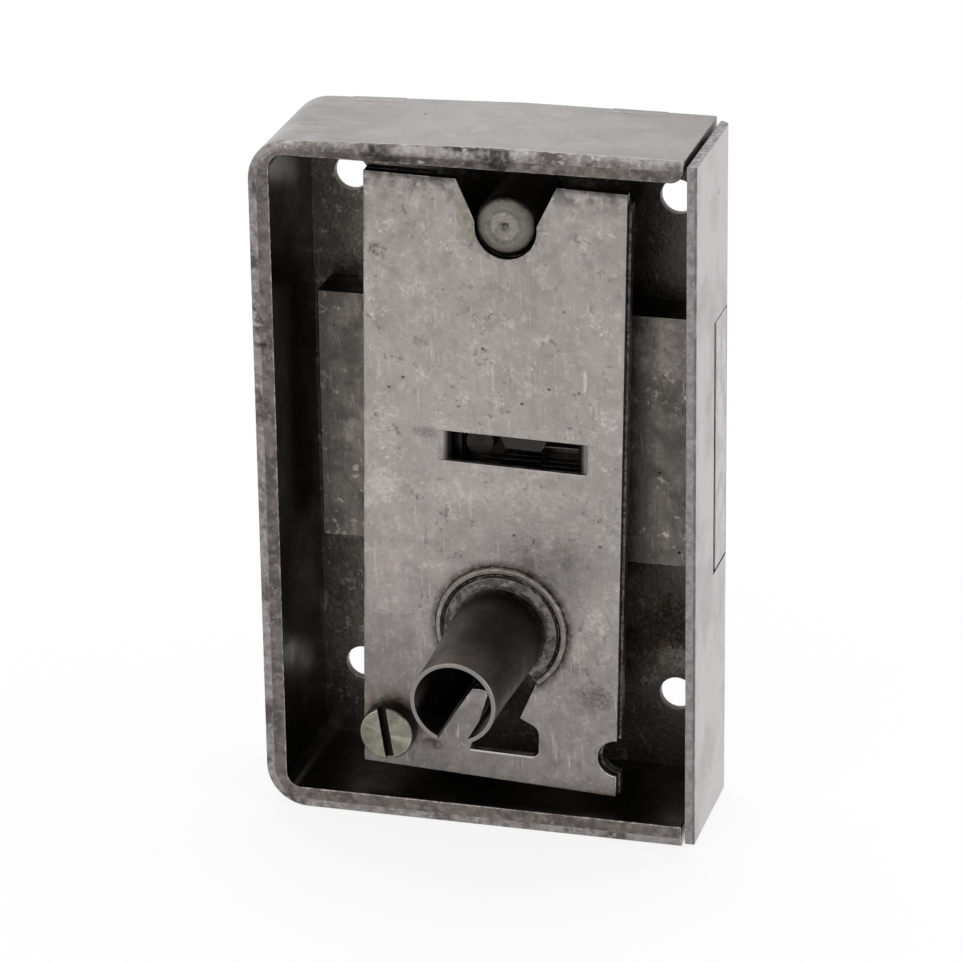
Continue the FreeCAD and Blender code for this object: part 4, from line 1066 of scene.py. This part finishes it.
class LOCK_OT_studio(bpy.types.Operator):
    """Set the pale floor, the soft lamps, the world and the camera."""

    bl_idname = "lock.studio"
    bl_label = "Studio"

    def execute(self, context):
        scene = context.scene
        studio = scene.lock_studio
        self.floor(studio)
        self.world(scene)
        middle = (0, 0, 0.02)
        lamp("Right lamp", (0.9, -0.1, 0.35), middle, size=0.6, watts=1.6)
        lamp("Top lamp", (-0.1, 0.3, 0.9), middle, size=0.6, watts=1.6)
        lamp("Front lamp", (-0.4, -0.9, 0.3), middle, size=0.5, watts=0.9)
        self.camera(scene, studio)
        scene.view_settings.view_transform = "Standard"
        return {"FINISHED"}

    def floor(self, studio):
        """A wide floor just below the case's foot."""
        shape = bmesh.new()
        bmesh.ops.create_grid(shape, x_segments=2, y_segments=2, size=4.0)
        level = CAD_BOX[0].z - 0.02 * MM
        bmesh.ops.translate(shape, verts=shape.verts, vec=(0, 0, level))
        mesh = bpy.data.meshes.new("Floor")
        shape.to_mesh(mesh)
        shape.free()
        floor = bpy.data.objects.new("Floor", mesh)
        bpy.context.scene.collection.objects.link(floor)
        material = bpy.data.materials.new("Pale paper")
        material.use_nodes = True
        tree = material.node_tree
        tree.nodes.clear()
        paper = add(tree, "BsdfDiffuse", color=studio.floor)
        glow = add(tree, "Emission", color=studio.floor, strength=1.0)
        share = both(tree, seen_white(tree), studio.glow)
        surface = add(tree, "MixShader", None, share, paper, glow)
        add(tree, "OutputMaterial", None, surface)
        mesh.materials.append(material)

    def world(self, scene):
        """White where the camera looks, and a plain level of light elsewhere."""
        world = bpy.data.worlds.new("Studio")
        world.use_nodes = True
        scene.world = world
        tree = world.node_tree
        tree.nodes.clear()
        level = add(tree, "MapRange", None, seen_white(tree), to_min=0.8, to_max=1.0)
        sky = add(tree, "Background", color=(1, 1, 1), strength=level)
        add(tree, "OutputWorld", None, sky)

    def camera(self, scene, studio):
        """The photograph's view: a long lens from above and to the right."""
        data = bpy.data.cameras.new("Camera")
        data.lens = studio.focal_length
        data.sensor_width = 36
        data.clip_start = 0.01
        data.clip_end = 20
        camera = bpy.data.objects.new("Camera", data)
        scene.collection.objects.link(camera)
        scene.camera = camera
        across, up = studio.azimuth, studio.elevation
        back = Vector((
            math.sin(across) * math.cos(up), -math.cos(across) * math.cos(up), math.sin(up),
        ))
        right = Vector((math.cos(across), math.sin(across), 0))
        high = back.cross(right)
        turn = studio.roll
        picture_x = right * math.cos(turn) + high * math.sin(turn)
        picture_y = high * math.cos(turn) - right * math.sin(turn)
        place = Matrix((picture_x, picture_y, back)).transposed().to_4x4()
        place.translation = Vector(studio.aim) + back * studio.distance
        camera.matrix_world = place


class LOCK_PT_panel(bpy.types.Panel):
    """Lists the steps that dress the lock."""

    bl_label = "Cabinet lock"
    bl_idname = "LOCK_PT_panel"
    bl_space_type = "VIEW_3D"
    bl_region_type = "UI"
    bl_category = "Lock"

    def draw(self, context):
        for operator in OPERATORS:
            self.layout.operator(operator.bl_idname)
        for group, properties in GROUPS.items():
            for name in properties.__annotations__:
                self.layout.prop(getattr(context.scene, group), name)


OPERATORS = (
    LOCK_OT_case, LOCK_OT_cover, LOCK_OT_bolt, LOCK_OT_tube, LOCK_OT_fixings, LOCK_OT_tumblers,
    LOCK_OT_studio,
)
GROUPS = {"lock_finish": LockFinish, "lock_edges": LockEdges, "lock_studio": LockStudio}


def register():
    for name, group in GROUPS.items():
        bpy.utils.register_class(group)
        setattr(bpy.types.Scene, name, bpy.props.PointerProperty(type=group))
    for item in (*OPERATORS, LOCK_PT_panel):
        bpy.utils.register_class(item)


def unregister():
    for item in reversed((*OPERATORS, LOCK_PT_panel)):
        bpy.utils.unregister_class(item)
    for name, group in reversed(GROUPS.items()):
        delattr(bpy.types.Scene, name)
        bpy.utils.unregister_class(group)


def main():
    """Runs every step."""
    register()
    for operator in OPERATORS:
        group, step = operator.bl_idname.split(".")
        getattr(getattr(bpy.ops, group), step)()


if __name__ == "__main__":
    main()
